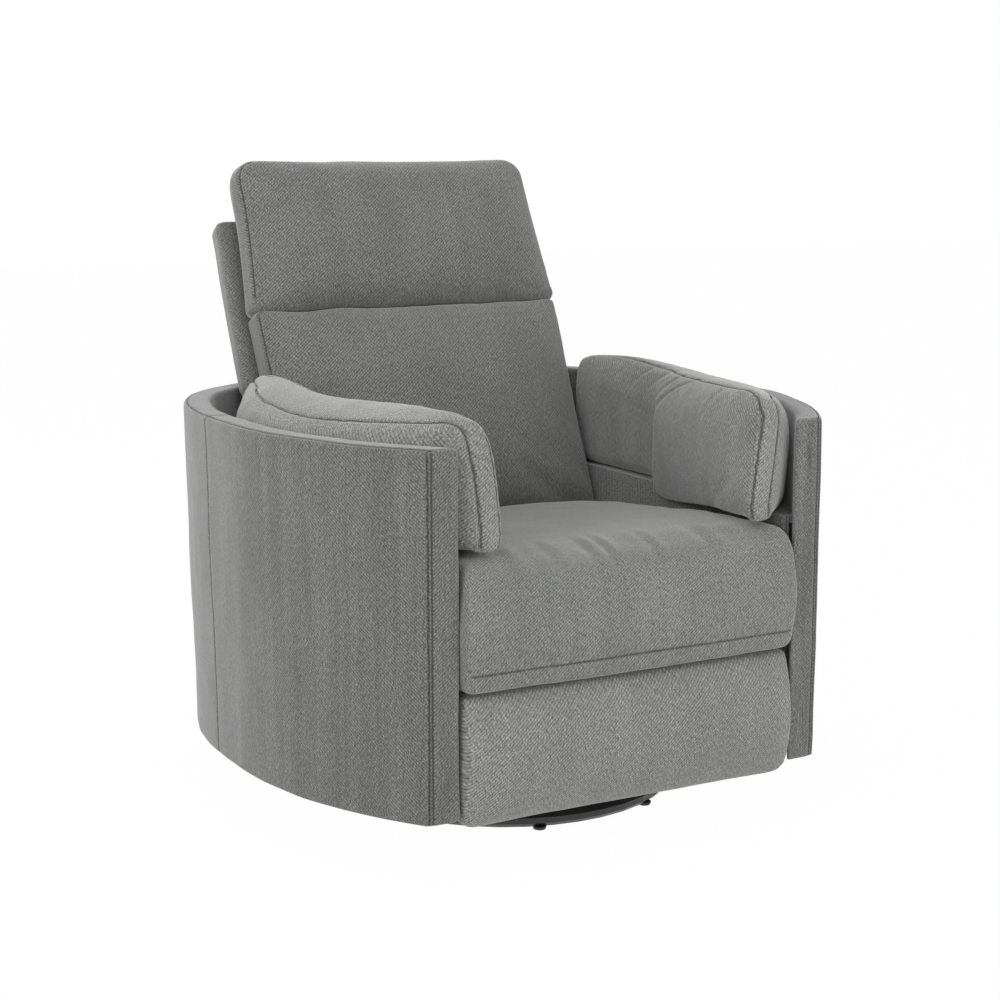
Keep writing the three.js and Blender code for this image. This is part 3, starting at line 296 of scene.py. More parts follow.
def plywood(color):
    """Face grain along the sheet and thin plies at its edges."""
    finish = Finish("bare_plywood")
    spot = finish.node("TexCoord").outputs["Object"]
    warp = finish.noise(finish.place(spot, (30, 3, 30)), 1.0, 3.0, 0.6)
    rings = finish.wave(finish.place(spot, (1, 0.1, 1)), 0.011, "X", 6.0)
    pores = finish.noise(finish.place(spot, (900, 60, 900)), 1.0, 2.0, 0.7)
    plies = finish.wave(spot, 0.0028, "Z", 0.2)
    tint = finish.shade(color, finish.around(warp, 0.3), finish.around(rings, 0.10),
                        finish.around(pores, 0.16), finish.around(plies, 0.08))
    return finish.finish(base_color=tint, roughness=0.72, normal=finish.bump(pores, 0.0003, 0.4))


def moulded_plastic(color):
    finish = Finish("moulded_plastic")
    spot = finish.node("TexCoord").outputs["Object"]
    leather = finish.node("TexVoronoi", {"Vector": spot, "Scale": 900.0}).outputs["Distance"]
    rub = finish.noise(spot, 40, 3.0)
    return finish.finish(base_color=finish.shade(color, finish.around(rub, 0.3)),
                         roughness=finish.math("MULTIPLY_ADD", rub, 0.2, 0.42),
                         normal=finish.bump(leather, 0.0002, 0.4))


# How streaked and how patchy the nap of each part lies, and its painted light level: one cloth made
# lighter or darker part by part to paint the light and shade that falls on it.
NAPS_AND_PAINTED_LIGHT = {
    "shell": (0.42, 0.12, 0.69), "seat": (0.18, 0.16, 0.92), "back": (0.16, 0.16, 0.80),
    "pillow": (0.14, 0.34, 1.10), "foot": (0.18, 0.14, 1.04),
}


def cover_cloth(part):
    """The chenille of one part, which is made once, lightened or darkened by the part's painted light
    level.
    """
    streaks, brushed, level = NAPS_AND_PAINTED_LIGHT[part]
    name = f"chenille_{part}"
    # Painted light and shade: the part's level makes the same cloth lighter or darker.
    color = [level * value for value in bpy.context.scene.chair_colours.chenille]
    return bpy.data.materials.get(name) or chenille(name, color, streaks, brushed)


def thread_finish():
    found = bpy.data.materials.get("seam_thread")
    return found or seam_thread(bpy.context.scene.chair_colours.thread)


# Meshes.

def to_object(name, bm):
    mesh = bpy.data.meshes.new(name)
    bm.to_mesh(mesh)
    bm.free()
    obj = bpy.data.objects.new(name, mesh)
    bpy.context.scene.collection.objects.link(obj)
    return obj


def apply_modifiers(obj):
    graph = bpy.context.evaluated_depsgraph_get()
    mesh = bpy.data.meshes.new_from_object(obj.evaluated_get(graph))
    old = obj.data
    obj.modifiers.clear()
    obj.data = mesh
    bpy.data.meshes.remove(old)
    mesh.name = obj.name


def vectors_of(mesh, field):
    flat = np.empty(len(mesh.vertices) * 3, np.float32)
    mesh.vertices.foreach_get(field, flat)
    return flat.reshape(-1, 3).astype(float)


def points_of(mesh):
    return vectors_of(mesh, "co")


def normals_of(mesh):
    return vectors_of(mesh, "normal")


def set_points(mesh, points):
    mesh.vertices.foreach_set("co", points.astype(np.float32).ravel())
    mesh.update()


def sweep(bm, rings, marks=None):
    """Draws the first ring, extrudes it through the others and closes both ends."""
    layer = bm.verts.layers.float.new("along") if marks else None
    verts = [bm.verts.new(point) for point in rings[0]]
    edges = [bm.edges.new(pair) for pair in zip(verts, verts[1:] + verts[:1])]
    ends = [list(edges)]
    if layer:
        for vert in verts:
            vert[layer] = marks[0]
    for index, ring in enumerate(rings[1:], 1):
        made = bmesh.ops.extrude_edge_only(bm, edges=edges)["geom"]
        fresh = {part for part in made if isinstance(part, bmesh.types.BMVert)}
        verts = [next(edge.other_vert(vert) for edge in vert.link_edges
                      if edge.other_vert(vert) in fresh) for vert in verts]
        for vert, point in zip(verts, ring):
            vert.co = point
            if layer:
                vert[layer] = marks[index]
        edges = [part for part in made if isinstance(part, bmesh.types.BMEdge)
                 and part.verts[0] in fresh and part.verts[1] in fresh]
    ends.append(edges)
    for loop in ends:
        bmesh.ops.contextual_create(bm, geom=loop)
    bmesh.ops.recalc_face_normals(bm, faces=bm.faces)


def regrid(obj, grid):
    """Gives a closed form an even skin of small square faces."""
    remesh = obj.modifiers.new("grid", "REMESH")
    remesh.mode = "VOXEL"
    remesh.voxel_size = grid
    apply_modifiers(obj)


def even_out(mesh, field, passes):
    """Averages a field of vectors over a mesh, each point with its neighbours."""
    ends = np.empty(len(mesh.edges) * 2, np.int32)
    mesh.edges.foreach_get("vertices", ends)
    first, second = ends.reshape(-1, 2).T
    both, other = np.concatenate([first, second]), np.concatenate([second, first])
    count = np.maximum(np.bincount(both, minlength=len(field)), 1)
    for _ in range(passes):
        around = [np.bincount(both, field[other, axis], len(field)) / count for axis in range(3)]
        field = (field + np.stack(around, axis=1)) / 2
    return field


HOLD_LEVELS = 10


def fill(obj, held, limit, passes=10):
    """Fills a skin with air as cloth. held gives 1 where a point stays and 0 where it is free."""
    sizes = bpy.context.scene.chair_sizes
    start = points_of(obj.data)
    weights = np.clip(held(start), 0, 1)
    group = obj.vertex_groups.new(name="held")
    for level in range(1, HOLD_LEVELS + 1):
        chosen = np.nonzero(np.round(weights * HOLD_LEVELS) == level)[0]
        if len(chosen):
            group.add(chosen.tolist(), level / HOLD_LEVELS, "REPLACE")
    cloth = obj.modifiers.new("air", "CLOTH")
    settings = cloth.settings
    settings.quality = 4
    settings.mass = 0.3
    settings.tension_stiffness = 15
    settings.compression_stiffness = 15
    settings.shear_stiffness = 5
    settings.bending_stiffness = 4
    settings.use_pressure = True
    settings.uniform_pressure_force = sizes.air_pressure
    settings.vertex_group_mass = group.name
    settings.effector_weights.gravity = 0
    cloth.collision_settings.use_collision = False
    cloth.point_cache.frame_start = 1
    cloth.point_cache.frame_end = sizes.fill_frames
    scene = bpy.context.scene
    for number in range(1, sizes.fill_frames + 1):
        scene.frame_set(number)
    apply_modifiers(obj)
    moved = points_of(obj.data) - start
    length = np.maximum(np.linalg.norm(moved, axis=1), 1e-9)
    moved *= (limit * np.tanh(length / limit) / length * (1 - weights))[:, None]
    set_points(obj.data, start + even_out(obj.data, moved, passes))
    scene.frame_set(1)


def refine(obj):
    divide = obj.modifiers.new("refine", "SUBSURF")
    divide.levels = divide.render_levels = 1
    apply_modifiers(obj)


def resample(line, step):
    """A polyline's points, a step apart."""
    points = np.array([tuple(point) for point in line], float)
    lengths = np.concatenate([[0], np.cumsum(np.linalg.norm(np.diff(points, axis=0), axis=1))])
    count = max(int(lengths[-1] / step), 2)
    places = np.linspace(0, lengths[-1], count + 1)
    return np.stack([np.interp(places, lengths, points[:, axis]) for axis in range(3)], axis=1)


LINE_STEP = 0.004
ROUNDINGS = 6


def steady(line):
    """Rounds the kinks of a polyline."""
    points = resample(line, LINE_STEP)
    for _ in range(ROUNDINGS):
        points[1:-1] = (points[:-2] + 2 * points[1:-1] + points[2:]) / 4
    return [Vector(point) for point in points]


def arc(across, up, radius, start, steps):
    """Points along a quarter of a circle, with both its ends."""
    turns = [start + step / steps * math.pi / 2 for step in range(steps + 1)]
    return [(across + radius * math.cos(turn), up + radius * math.sin(turn)) for turn in turns]


def mirrored(lines):
    """Lines on the other side of the chair's middle plane."""
    return [[Vector((-spot.x, spot.y, spot.z)) for spot in line] for line in lines]


def distances(points, spots):
    """How far each point lies from the nearest of the spots."""
    tree = KDTree(len(spots))
    for index, spot in enumerate(spots):
        tree.insert(spot, index)
    tree.balance()
    return np.array([tree.find(point)[2] for point in points])


def near_line(points, line, width):
    """How close points are to a line, from 1 near it to 0 well past a width."""
    return np.clip(1.6 - distances(points, resample(line, LINE_STEP)) / width, 0, 1)


def tree_of(mesh):
    return BVHTree.FromPolygons(
        [vert.co.copy() for vert in mesh.vertices], [face.vertices[:] for face in mesh.polygons])


def lay_on(tree, line, step):
    """Points a step apart along a line, moved to the nearest place on a skin, with its normals."""
    spots = []
    for point in resample(line, step):
        spot, normal, _, _ = tree.find_nearest(Vector(point))
        spots.append((spot, normal))
    return spots


FURROW_STEP = 0.0015
PAINTED_SHADE_SHARE = 0.55


def press(obj, lines, depth=None, width=None):
    """Draws a cover in along its seams, and writes painted shade along each seam's furrow for its
    material.
    """
    sizes = bpy.context.scene.chair_sizes
    depth = sizes.seam_depth if depth is None else depth
    width = sizes.seam_width if width is None else width
    mesh = obj.data
    points = points_of(mesh)
    painted_seam_shade = np.zeros(len(points), np.float32)
    if lines:
        tree = tree_of(mesh)
        away = distances(points, [spot for line in lines
                                  for spot, _ in lay_on(tree, line, FURROW_STEP)])
        furrow = np.exp(-(away / width) ** 2)
        # Painted shade along the seam's furrow, which the cover's material darkens.
        painted_seam_shade = np.exp(-(away / (width * PAINTED_SHADE_SHARE)) ** 2).astype(np.float32)
        points -= normals_of(mesh) * (depth * furrow)[:, None]
        set_points(mesh, points)
    # The seam attribute holds the painted shade for the cover's material.
    attribute = mesh.attributes.get("seam") or mesh.attributes.new("seam", "FLOAT", "POINT")
    attribute.data.foreach_set("value", painted_seam_shade)


# Length and height of the slow and the short unevenness of each cover.
UNEVEN = {
    "shell": ((0.16, 0.0016), (0.05, 0.0007)), "pillow": ((0.09, 0.0020), (0.03, 0.0007)),
    "seat": ((0.16, 0.0022), (0.04, 0.0007)), "lumbar": ((0.12, 0.0022), (0.035, 0.0006)),
    "head": ((0.12, 0.0020), (0.035, 0.0006)), "board": ((0.15, 0.0015), (0.05, 0.0005)),
    "foot": ((0.14, 0.0018), (0.04, 0.0005)),
}


def ruffle(obj, part):
    """Unevens a cover with noise."""
    mesh = obj.data
    points = points_of(mesh)
    lift = np.zeros(len(points))
    for length, height in UNEVEN[part]:
        lift += [height * noise.noise(Vector(point / length)) for point in points]
    set_points(mesh, points + normals_of(mesh) * lift[:, None])


def lay_cloth(obj, unroll):
    """Writes the UV map that the weave follows. unroll(centre, normal) gives a face's own mapping."""
    mesh = obj.data
    layer = mesh.uv_layers.get("cloth") or mesh.uv_layers.new(name="cloth")
    points = points_of(mesh)
    flat = np.empty(len(mesh.loops) * 2, np.float32)
    for face in mesh.polygons:
        mapping = unroll(face.center, face.normal)
        for index, vert in zip(face.loop_indices, face.vertices):
            flat[2 * index:2 * index + 2] = mapping(vert, points[vert])
    layer.data.foreach_set("uv", flat)


def flat_map(first, second):
    return lambda vert, point: (point[first], point[second])


FLAT_MAPS = {0: flat_map(1, 2), 1: flat_map(0, 2), 2: flat_map(0, 1)}


def box_unroll(centre, normal):
    """Maps a face along the axis that it faces most."""
    return FLAT_MAPS[max(range(3), key=lambda axis: abs(normal[axis]))]


def dress(obj, material, body, *nodes, padded=None):
    """Finishes a piece: its cloth or material, its body and the solids that it stands for."""
    obj.data.materials.clear()
    obj.data.materials.append(material)
    obj.data.polygons.foreach_set("use_smooth", [True] * len(obj.data.polygons))
    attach(obj, body)
    if nodes:
        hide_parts(*nodes)
    return obj


THREAD_STEP = 0.005
THREAD_SIDES = 5


def thread(name, obj, lines, body, place=Matrix()):
    """A seam's thread, which lies in the furrow of each line on a cover."""
    radius = bpy.context.scene.chair_sizes.thread_radius
    tree = tree_of(obj.data)
    bm = bmesh.new()
    for line in lines:
        spots = lay_on(tree, line, THREAD_STEP)
        rings = []
        for index, (spot, normal) in enumerate(spots):
            before = spots[max(index - 1, 0)][0]
            after = spots[min(index + 1, len(spots) - 1)][0]
            way = (after - before).normalized()
            side = way.cross(normal).normalized()
            rings.append([spot + (side * math.cos(turn) + normal * math.sin(turn)) * radius
                          for turn in (math.tau * i / THREAD_SIDES for i in range(THREAD_SIDES))])
        piece = bmesh.new()
        sweep(piece, rings)
        mesh = bpy.data.meshes.new("strand")
        piece.to_mesh(mesh)
        piece.free()
        bm.from_mesh(mesh)
        bpy.data.meshes.remove(mesh)
    bmesh.ops.transform(bm, matrix=place, verts=bm.verts)
    made = to_object(name, bm)
    return dress(made, thread_finish(), body)


STITCH_SPACING = 1.45
STITCH_RISE = 0.4


def topstitch(name, obj, line, body):
    """A row of short stitches along a line on a cover."""
    sizes = bpy.context.scene.chair_sizes
    tree = tree_of(obj.data)
    spots = lay_on(tree, line, sizes.stitch_length * STITCH_SPACING)
    bm = bmesh.new()
    for (first, normal), (second, _) in zip(spots, spots[1:]):
        way = (second - first).normalized()
        turn = Matrix((way, way.cross(normal).normalized(), normal)).transposed().to_4x4()
        shape = Matrix.Diagonal((sizes.stitch_length / 2, sizes.thread_radius,
                                 sizes.thread_radius, 1))
        middle = (first + second) / 2 + normal * sizes.thread_radius * STITCH_RISE
        bmesh.ops.create_uvsphere(bm, u_segments=6, v_segments=4, radius=1,
                                  matrix=Matrix.Translation(middle) @ turn @ shape)
    bmesh.ops.recalc_face_normals(bm, faces=bm.faces)
    return dress(to_object(name, bm), thread_finish(), body)


# The barrel shell.

def front_reach(half, front_half):
    share = (front_half / half) ** FRONT_POWER
    return (WIDEST_Y - FRONT_Y) / (1 - share) ** (1 / FRONT_POWER)


OUTER = (HALF_WIDTH, front_reach(HALF_WIDTH, OUTER_FRONT_HALF), REAR_Y - WIDEST_Y)
INNER = (HALF_WIDTH - WALL, front_reach(HALF_WIDTH - WALL, INNER_FRONT_HALF),
         REAR_Y - WIDEST_Y - WALL)


def plan_x(y, face):
    """Half the width between a face's two sides at a depth."""
    half, front, rear = face
    power, reach = (FRONT_POWER, front) if y < WIDEST_Y else (REAR_POWER, rear)
    return half * max(1 - (abs(y - WIDEST_Y) / reach) ** power, 0) ** (1 / power)


def plan_table():
    """Rows along half the plan: the outer point, the inner point and the share of the taper."""
    rows = []
    for share in np.linspace(0, 1, 300, endpoint=False):
        y = FRONT_Y + share * (WIDEST_Y - FRONT_Y)
        rows.append((plan_x(y, OUTER), y, plan_x(y, INNER), y, share))
    power = 2 / REAR_POWER
    for angle in np.linspace(0, math.pi / 2, 900):
        across, back = math.cos(angle) ** power, math.sin(angle) ** power
        rows.append((OUTER[0] * across, WIDEST_Y + OUTER[2] * back,
                     INNER[0] * across, WIDEST_Y + INNER[2] * back, 1.0))
    return np.array(rows)


PLAN = plan_table()
PLAN_LENGTHS = np.concatenate([[0], np.cumsum(np.hypot(*np.diff(PLAN[:, :2], axis=0).T))])
PLAN_END = PLAN_LENGTHS[-1]
SEAM_AT = float(np.interp(SEAM_Y, PLAN[:, 1], PLAN_LENGTHS))

SHELL_EDGE = 0.009
SHELL_FOOT = 0.004
BAND_SEAM = 0.0068
FRONT_SEAM = 0.0012
STRIP_SEAM = 0.0060
SHELL_SEAM_DEPTH = 0.0022
SHELL_SEAM_WIDTH = 0.0030
BAND_STEP = 0.01
LINE_DROP = 0.006

# Rings along a side: they close its front, follow the strip's round edge, then its flat and panel.
STRIP_EDGE = 0.008
CLOSING_SHARES = (0.82, 0.55, 0.28)
STRIP_STEP = 0.0022
STRIP_END = 0.024
PANEL_START = 0.030
PANEL_STEP = 0.0105
REAR_RINGS = 132

# A cover rolls in at a side seam: the distance from the seam and the inset there.
SEAM_ROLL = ((0.0, 0.0019), (0.0009, 0.0005), (0.0030, 0.0))
SEAM_MARGIN = 0.008
SEAM_GAP = 0.0003

# Points along the wall's section: round its foot and top, and along its four faces.
FOOT_STEPS, EDGE_STEPS = 2, 5
UNDER_STEPS, OUTER_STEPS, TOP_STEPS, INNER_STEPS = 4, 34, 12, 30


def plan_at(at):
    """The outer and inner point and the taper at a length along the plan, and its side of X."""
    past = at > PLAN_END
    place = 2 * PLAN_END - at if past else at
    row = [np.interp(place, PLAN_LENGTHS, PLAN[:, column]) for column in range(5)]
    return Vector((row[0], row[1])), Vector((row[2], row[3])), row[4], -1 if past else 1


def wall_ring(at, inset=0.0, narrow=0.0):
    """One ring of the wall at a place along the plan, drawn in by an inset."""
    outer, inner, taper, side = plan_at(at)
    run = outer - inner
    width = run.length
    low, high = SHELL_LOW + inset, SHELL_TOP - inset
    near, far = inset, width - inset

    def straight(first, last, steps):
        return [(first[0] + (last[0] - first[0]) * step / steps,
                 first[1] + (last[1] - first[1]) * step / steps) for step in range(1, steps)]

    section = [
        *arc(near + SHELL_FOOT, low + SHELL_FOOT, SHELL_FOOT, math.pi, FOOT_STEPS),
        *straight((near + SHELL_FOOT, low), (far - SHELL_FOOT, low), UNDER_STEPS),
        *arc(far - SHELL_FOOT, low + SHELL_FOOT, SHELL_FOOT, math.pi * 1.5, FOOT_STEPS),
        *straight((far, low + SHELL_FOOT), (far, high - SHELL_EDGE), OUTER_STEPS),
        *arc(far - SHELL_EDGE, high - SHELL_EDGE, SHELL_EDGE, 0, EDGE_STEPS),
        *straight((far - SHELL_EDGE, high), (near + SHELL_EDGE, high), TOP_STEPS),
        *arc(near + SHELL_EDGE, high - SHELL_EDGE, SHELL_EDGE, math.pi / 2, EDGE_STEPS),
        *straight((near, high - SHELL_EDGE), (near, low + SHELL_FOOT), INNER_STEPS),
    ]
    ring = []
    middle = (near + far) / 2
    for across, z in section:
        if across > width / 2:
            across -= TAPER * taper * (SHELL_TOP - z) / (SHELL_TOP - SHELL_LOW)
        if narrow:
            across = middle + (across - middle) * (1 - narrow)
            z += (SHELL_LOW + SHELL_TOP - 2 * z) / (SHELL_TOP - SHELL_LOW) * narrow * (far - near) / 2
        spot = inner + run * (across / width)
        ring.append(Vector((side * spot.x, spot.y, z)))
    return ring


# How far a face of the shell turns up or forward to be laid from there, and how near the front.
TOP_FACING = 0.75
FRONT_FACING = 0.9
FRONT_SLACK = 0.0015


def shell_unroll(along):
    """Maps the wall's faces along the plan and up, its top from above and its front from the front."""
    def unroll(centre, normal):
        if abs(normal.z) > TOP_FACING:
            return FLAT_MAPS[2]
        if centre.y < FRONT_Y + FRONT_SLACK or normal.y < -FRONT_FACING:
            return FLAT_MAPS[1]
        return lambda vert, point: (along[vert], point[2])
    return unroll


def band_line(first, last):
    """The line on the shell's top where the outer panel meets the top band."""
    line = []
    for at in np.arange(first, last, BAND_STEP):
        outer, inner, _, side = plan_at(at)
        spot = outer + (inner - outer).normalized() * BAND_SEAM
        line.append(Vector((side * spot.x, spot.y, SHELL_TOP)))
    return line


def front_line(x, y):
    """A line down the shell's front."""
    return [Vector((x, y, z)) for z in np.linspace(SHELL_TOP - LINE_DROP, SHELL_LOW, 60)]


def side_cover(side):
    """A side's cover: rings that narrow close its front, whose edge is round."""
    rings = [(0.0, STRIP_EDGE, narrow) for narrow in CLOSING_SHARES]
    for step in range(EDGE_STEPS + 1):
        angle = step / EDGE_STEPS * math.pi / 2
        rings.append((STRIP_EDGE * (1 - math.cos(angle)), STRIP_EDGE * (1 - math.sin(angle)), 0.0))
    for first, last, step in ((STRIP_EDGE + STRIP_STEP, STRIP_END, STRIP_STEP),
                              (PANEL_START, SEAM_AT - SEAM_MARGIN, PANEL_STEP)):
        rings += [(at, 0.0, 0.0) for at in np.arange(first, last, step)]
    rings += [(SEAM_AT - step, inset, 0.0) for step, inset in reversed(SEAM_ROLL)]
    lines = [band_line(FRONT_SEAM, SEAM_AT), front_line(*plan_at(FRONT_SEAM)[0]),
             front_line(OUTER_FRONT_HALF - STRIP_SEAM, FRONT_Y)]
    shell_cover(f"side_cover_{side}", rings, lines, f"shell_side_{side}", side == "right")


def rear_cover():
    """The cover that wraps the rear, between the two side seams."""
    first, last = SEAM_AT + SEAM_GAP, 2 * PLAN_END - SEAM_AT - SEAM_GAP
    rings = [(first + step, inset) for step, inset in SEAM_ROLL]
    rings += [(at, 0.0) for at in np.linspace(first + SEAM_MARGIN, last - SEAM_MARGIN, REAR_RINGS)]
    rings += [(last - step, inset) for step, inset in reversed(SEAM_ROLL)]
    shell_cover("rear_cover", rings, [band_line(SEAM_AT, 2 * PLAN_END - SEAM_AT)], "shell_rear")


def shell_cover(name, rings, lines, node, turned=False):
    """Draws a shell cover, presses its seams, lays its cloth and threads, and dresses it."""
    bm = bmesh.new()
    sweep(bm, [wall_ring(*ring) for ring in rings], [ring[0] for ring in rings])
    if turned:
        bmesh.ops.scale(bm, vec=(-1, 1, 1), verts=bm.verts)
        bmesh.ops.reverse_faces(bm, faces=bm.faces)
        lines = mirrored(lines)
    obj = to_object(name, bm)
    refine(obj)
    along = np.empty(len(obj.data.vertices), np.float32)
    obj.data.attributes["along"].data.foreach_get("value", along)
    ruffle(obj, "shell")
    press(obj, lines, SHELL_SEAM_DEPTH, SHELL_SEAM_WIDTH)
    lay_cloth(obj, shell_unroll(along))
    thread(f"{name}_thread", obj, lines, "carriage")
    dress(obj, cover_cloth("shell"), "carriage", node)


# Pads with a crowned face, boxing round the sides and a flat rear.

CORNER_STEPS = 6
EDGE_PARTS = 16


def pad_outline(low, high, low_half, high_half, low_radius, high_radius, draw):
    """The outline of a pad in X and Z: round corners, and sides that draw in between them."""
    corners = [
        (low_half - low_radius, low + low_radius, low_radius, -math.pi / 2),
        (high_half - high_radius, high - high_radius, high_radius, 0),
        (high_radius - high_half, high - high_radius, high_radius, math.pi / 2),
        (low_radius - low_half, low + low_radius, low_radius, math.pi),
    ]
    outline = []
    for index, (x, z, radius, start) in enumerate(corners):
        outline += arc(x, z, radius, start, CORNER_STEPS)
        first, last = outline[-1], arc(*corners[(index + 1) % 4], CORNER_STEPS)[0]
        for step in range(1, EDGE_PARTS):
            share = step / EDGE_PARTS
            pull = draw * math.sin(share * math.pi)
            in_x = pull * math.copysign(1, x) if index % 2 == 0 else 0
            in_z = pull * (1 if index == 3 else -1) if index % 2 == 1 else 0
            outline.append((first[0] + (last[0] - first[0]) * share - in_x,
                            first[1] + (last[1] - first[1]) * share + in_z))
    return outline


def bowed(sizes, depth, z):
    """How far a pad's front bows out at a height, which fades towards its rear."""
    middle, rise = (sizes["low"] + sizes["high"]) / 2, (sizes["high"] - sizes["low"]) / 2
    fade = min(max((sizes["rear"] - depth) / (sizes["rear"] - sizes["seam"]), 0), 1)
    return sizes.get("bow", 0) * fade * max(1 - ((z - middle) / rise) ** 2, 0)


# A pad's rear is drawn in a little and its crowned face is rings of these shares of its outline.
REAR_SHARE = 0.985
REAR_ROUND = 0.006
SEAM_ROUND = 0.004
FACE_SHARES = (0.985, 0.96, 0.92, 0.86, 0.78, 0.66, 0.52, 0.36, 0.18)


def boxed_pad(outline, sizes):
    """Rings of a pad, from its flat rear over the boxing and seam to its crowned face."""
    low, high, half = sizes["low"], sizes["high"], sizes["low_half"]
    rear, seam, swell = sizes["rear"], sizes["seam"], sizes["swell"]
    middle, rise = (low + high) / 2, (high - low) / 2

    def ring(share, depth, grow):
        made = []
        for x, z in outline:
            scale = share + grow / math.hypot(x, z - middle)
            place = middle + (z - middle) * scale
            made.append((x * scale, depth - bowed(sizes, depth, place), place))
        return made

    rings = [ring(REAR_SHARE, rear, 0), ring(1, rear - REAR_ROUND, 0),
             ring(1, (rear + seam) / 2, swell), ring(1, seam + SEAM_ROUND, swell / 3),
             ring(1, seam, 0)]
    for share in FACE_SHARES:
        face = []
        for x, y, z in ring(share, seam, 0):
            edge = math.sqrt(1 - share ** 14)
            across = max(1 - (x / half) ** 4, 0)
            up = max(1 - (abs(z - middle) / rise) ** 4, 0)
            weight = 1 + sizes["low_weight"] * (middle - z) / rise
            face.append((x, y - sizes["crown"] * edge * weight * math.sqrt(across * up), z))
        rings.append(face)
    return rings


def pad_unroll(seam):
    """Maps a pad's face from the front and its boxing from each side."""
    def unroll(centre, normal):
        if centre.y < seam:
            return FLAT_MAPS[1]
        return FLAT_MAPS[0] if abs(normal.x) > abs(normal.z) else FLAT_MAPS[2]
    return unroll


SEAM_HOLD = 0.006


def make_pad(name, sizes, limit, hold_seam):
    """A filled pad: its skin, held at the rear and along the front seam, then refined."""
    outline = pad_outline(sizes["low"], sizes["high"], sizes["low_half"], sizes["high_half"],
                          sizes["low_radius"], sizes["high_radius"], sizes["draw"])
    bm = bmesh.new()
    sweep(bm, boxed_pad(outline, sizes))
    obj = to_object(name, bm)
    regrid(obj, bpy.context.scene.chair_sizes.skin_grid)
    seam = sizes["seam"]
    loop = [Vector((x, seam - bowed(sizes, seam, z), z)) for x, z in [*outline, outline[0]]]

    def held(points):
        back = np.clip((points[:, 1] - sizes["rear"] + REAR_ROUND) / SEAM_ROUND, 0, 1)
        return np.maximum(back, hold_seam * near_line(points, loop, SEAM_HOLD))

    fill(obj, held, limit)
    refine(obj)
    return obj, loop


# Seat, back and footrest.

LUMBAR_LIMIT = 0.3050
FOOT_LIMIT = 0.3005

# Each pad's outline in X and Z, the depths of its rear and seam, its crown and its swelling.
LUMBAR = {
    "low": 0.455, "high": 0.8755, "low_half": 0.301, "high_half": 0.3045, "low_radius": 0.040,
    "high_radius": 0.009, "draw": 0.003, "rear": BOXING, "seam": 0.0, "crown": 0.052,
    "swell": 0.001, "low_weight": 0.14,
}
HEAD = {
    "low": 0.8765, "high": 1.161, "low_half": 0.305, "high_half": 0.292, "low_radius": 0.012,
    "high_radius": 0.038, "draw": 0.004, "rear": BOXING, "seam": 0.0, "crown": 0.042,
    "swell": 0.007, "low_weight": 0.18,
}
FOOT = {
    "low": 0.076, "high": 0.2820, "low_half": 0.2990, "high_half": 0.2990, "low_radius": 0.022,
    "high_radius": 0.010, "draw": 0.001, "rear": -0.425, "seam": -0.464, "crown": 0.014,
    "swell": 0.001, "low_weight": 0.0, "bow": 0.023,
}


def keep_between(obj, limit):
    """Keeps a cover within a distance of the chair's middle plane."""
    points = points_of(obj.data)
    points[:, 0] = np.clip(points[:, 0], -limit, limit)
    set_points(obj.data, points)


CREASE_WIDTH = 0.030
CREASE_HEIGHT = 0.0050
CREASE_WAVES = 11


def wave_crease(obj):
    """Bends both cushions alike where they meet, so that the crease between them waves."""
    points = points_of(obj.data)
    middle = (LUMBAR["high"] + HEAD["low"]) / 2
    near = np.exp(-((points[:, 2] - middle) / CREASE_WIDTH) ** 2)
    wave = [noise.noise(Vector((x * CREASE_WAVES, 3.0, 0.0))) for x in points[:, 0]]
    points[:, 2] += CREASE_HEIGHT * near * wave
    set_points(obj.data, points)


LUMBAR_SWELL = 0.022
HEAD_SWELL = 0.020
LUMBAR_SEAM_X = 0.27
LUMBAR_SEAM_RISE = 0.02
HEAD_SEAM_RISE = 0.012
BACK_SEAM_HOLD = 0.7
SEAM_SLACK = 0.002


def lumbar_seams(loop):
    """The seams up both sides of the lumbar cushion's face."""
    sides = [[spot for spot in loop if side * spot.x > LUMBAR_SEAM_X
              and spot.z > LUMBAR["low"] + LUMBAR_SEAM_RISE] for side in (1, -1)]
    return [sorted(line, key=lambda spot: spot.z) for line in sides]


def head_seams(loop):
    """The seam up, over and down the head cushion's face."""
    around = [spot for spot in loop[:-1] if spot.z > HEAD["low"] + HEAD_SEAM_RISE]
    return [sorted(around, key=lambda spot: math.atan2(spot.z - HEAD["low"], spot.x))]


def back_cushion(part, sizes, limit, seams_of, padding):
    """Fills a cushion of the back as it stands upright, then leans it."""
    obj, loop = make_pad(f"{part}_cover", sizes, limit, BACK_SEAM_HOLD)
    if part == "lumbar":
        keep_between(obj, LUMBAR_LIMIT)
    wave_crease(obj)
    seams = seams_of(loop)
    ruffle(obj, part)
    press(obj, seams)
    lay_cloth(obj, pad_unroll(sizes["seam"] + SEAM_SLACK))
    thread(f"{part}_thread", obj, seams, "back", LEANING)
    obj.data.transform(LEANING)
    dress(obj, cover_cloth("back"), "back", f"{part}_cushion", padded=padding)


# Heights up the back, and how much wider than its foot the board is there.
FRAME_SPREAD = ([0.70, 0.76, 1.07], [1.0, 1.10, 1.09])

# The board's skin, the depth in front of which it is held, its swelling and its seam's inset.
BOARD_GRID = 0.007
BOARD_HELD = 0.075
BOARD_FADE = 0.01
BOARD_SWELL = 0.005
BOARD_SEAM = 0.006


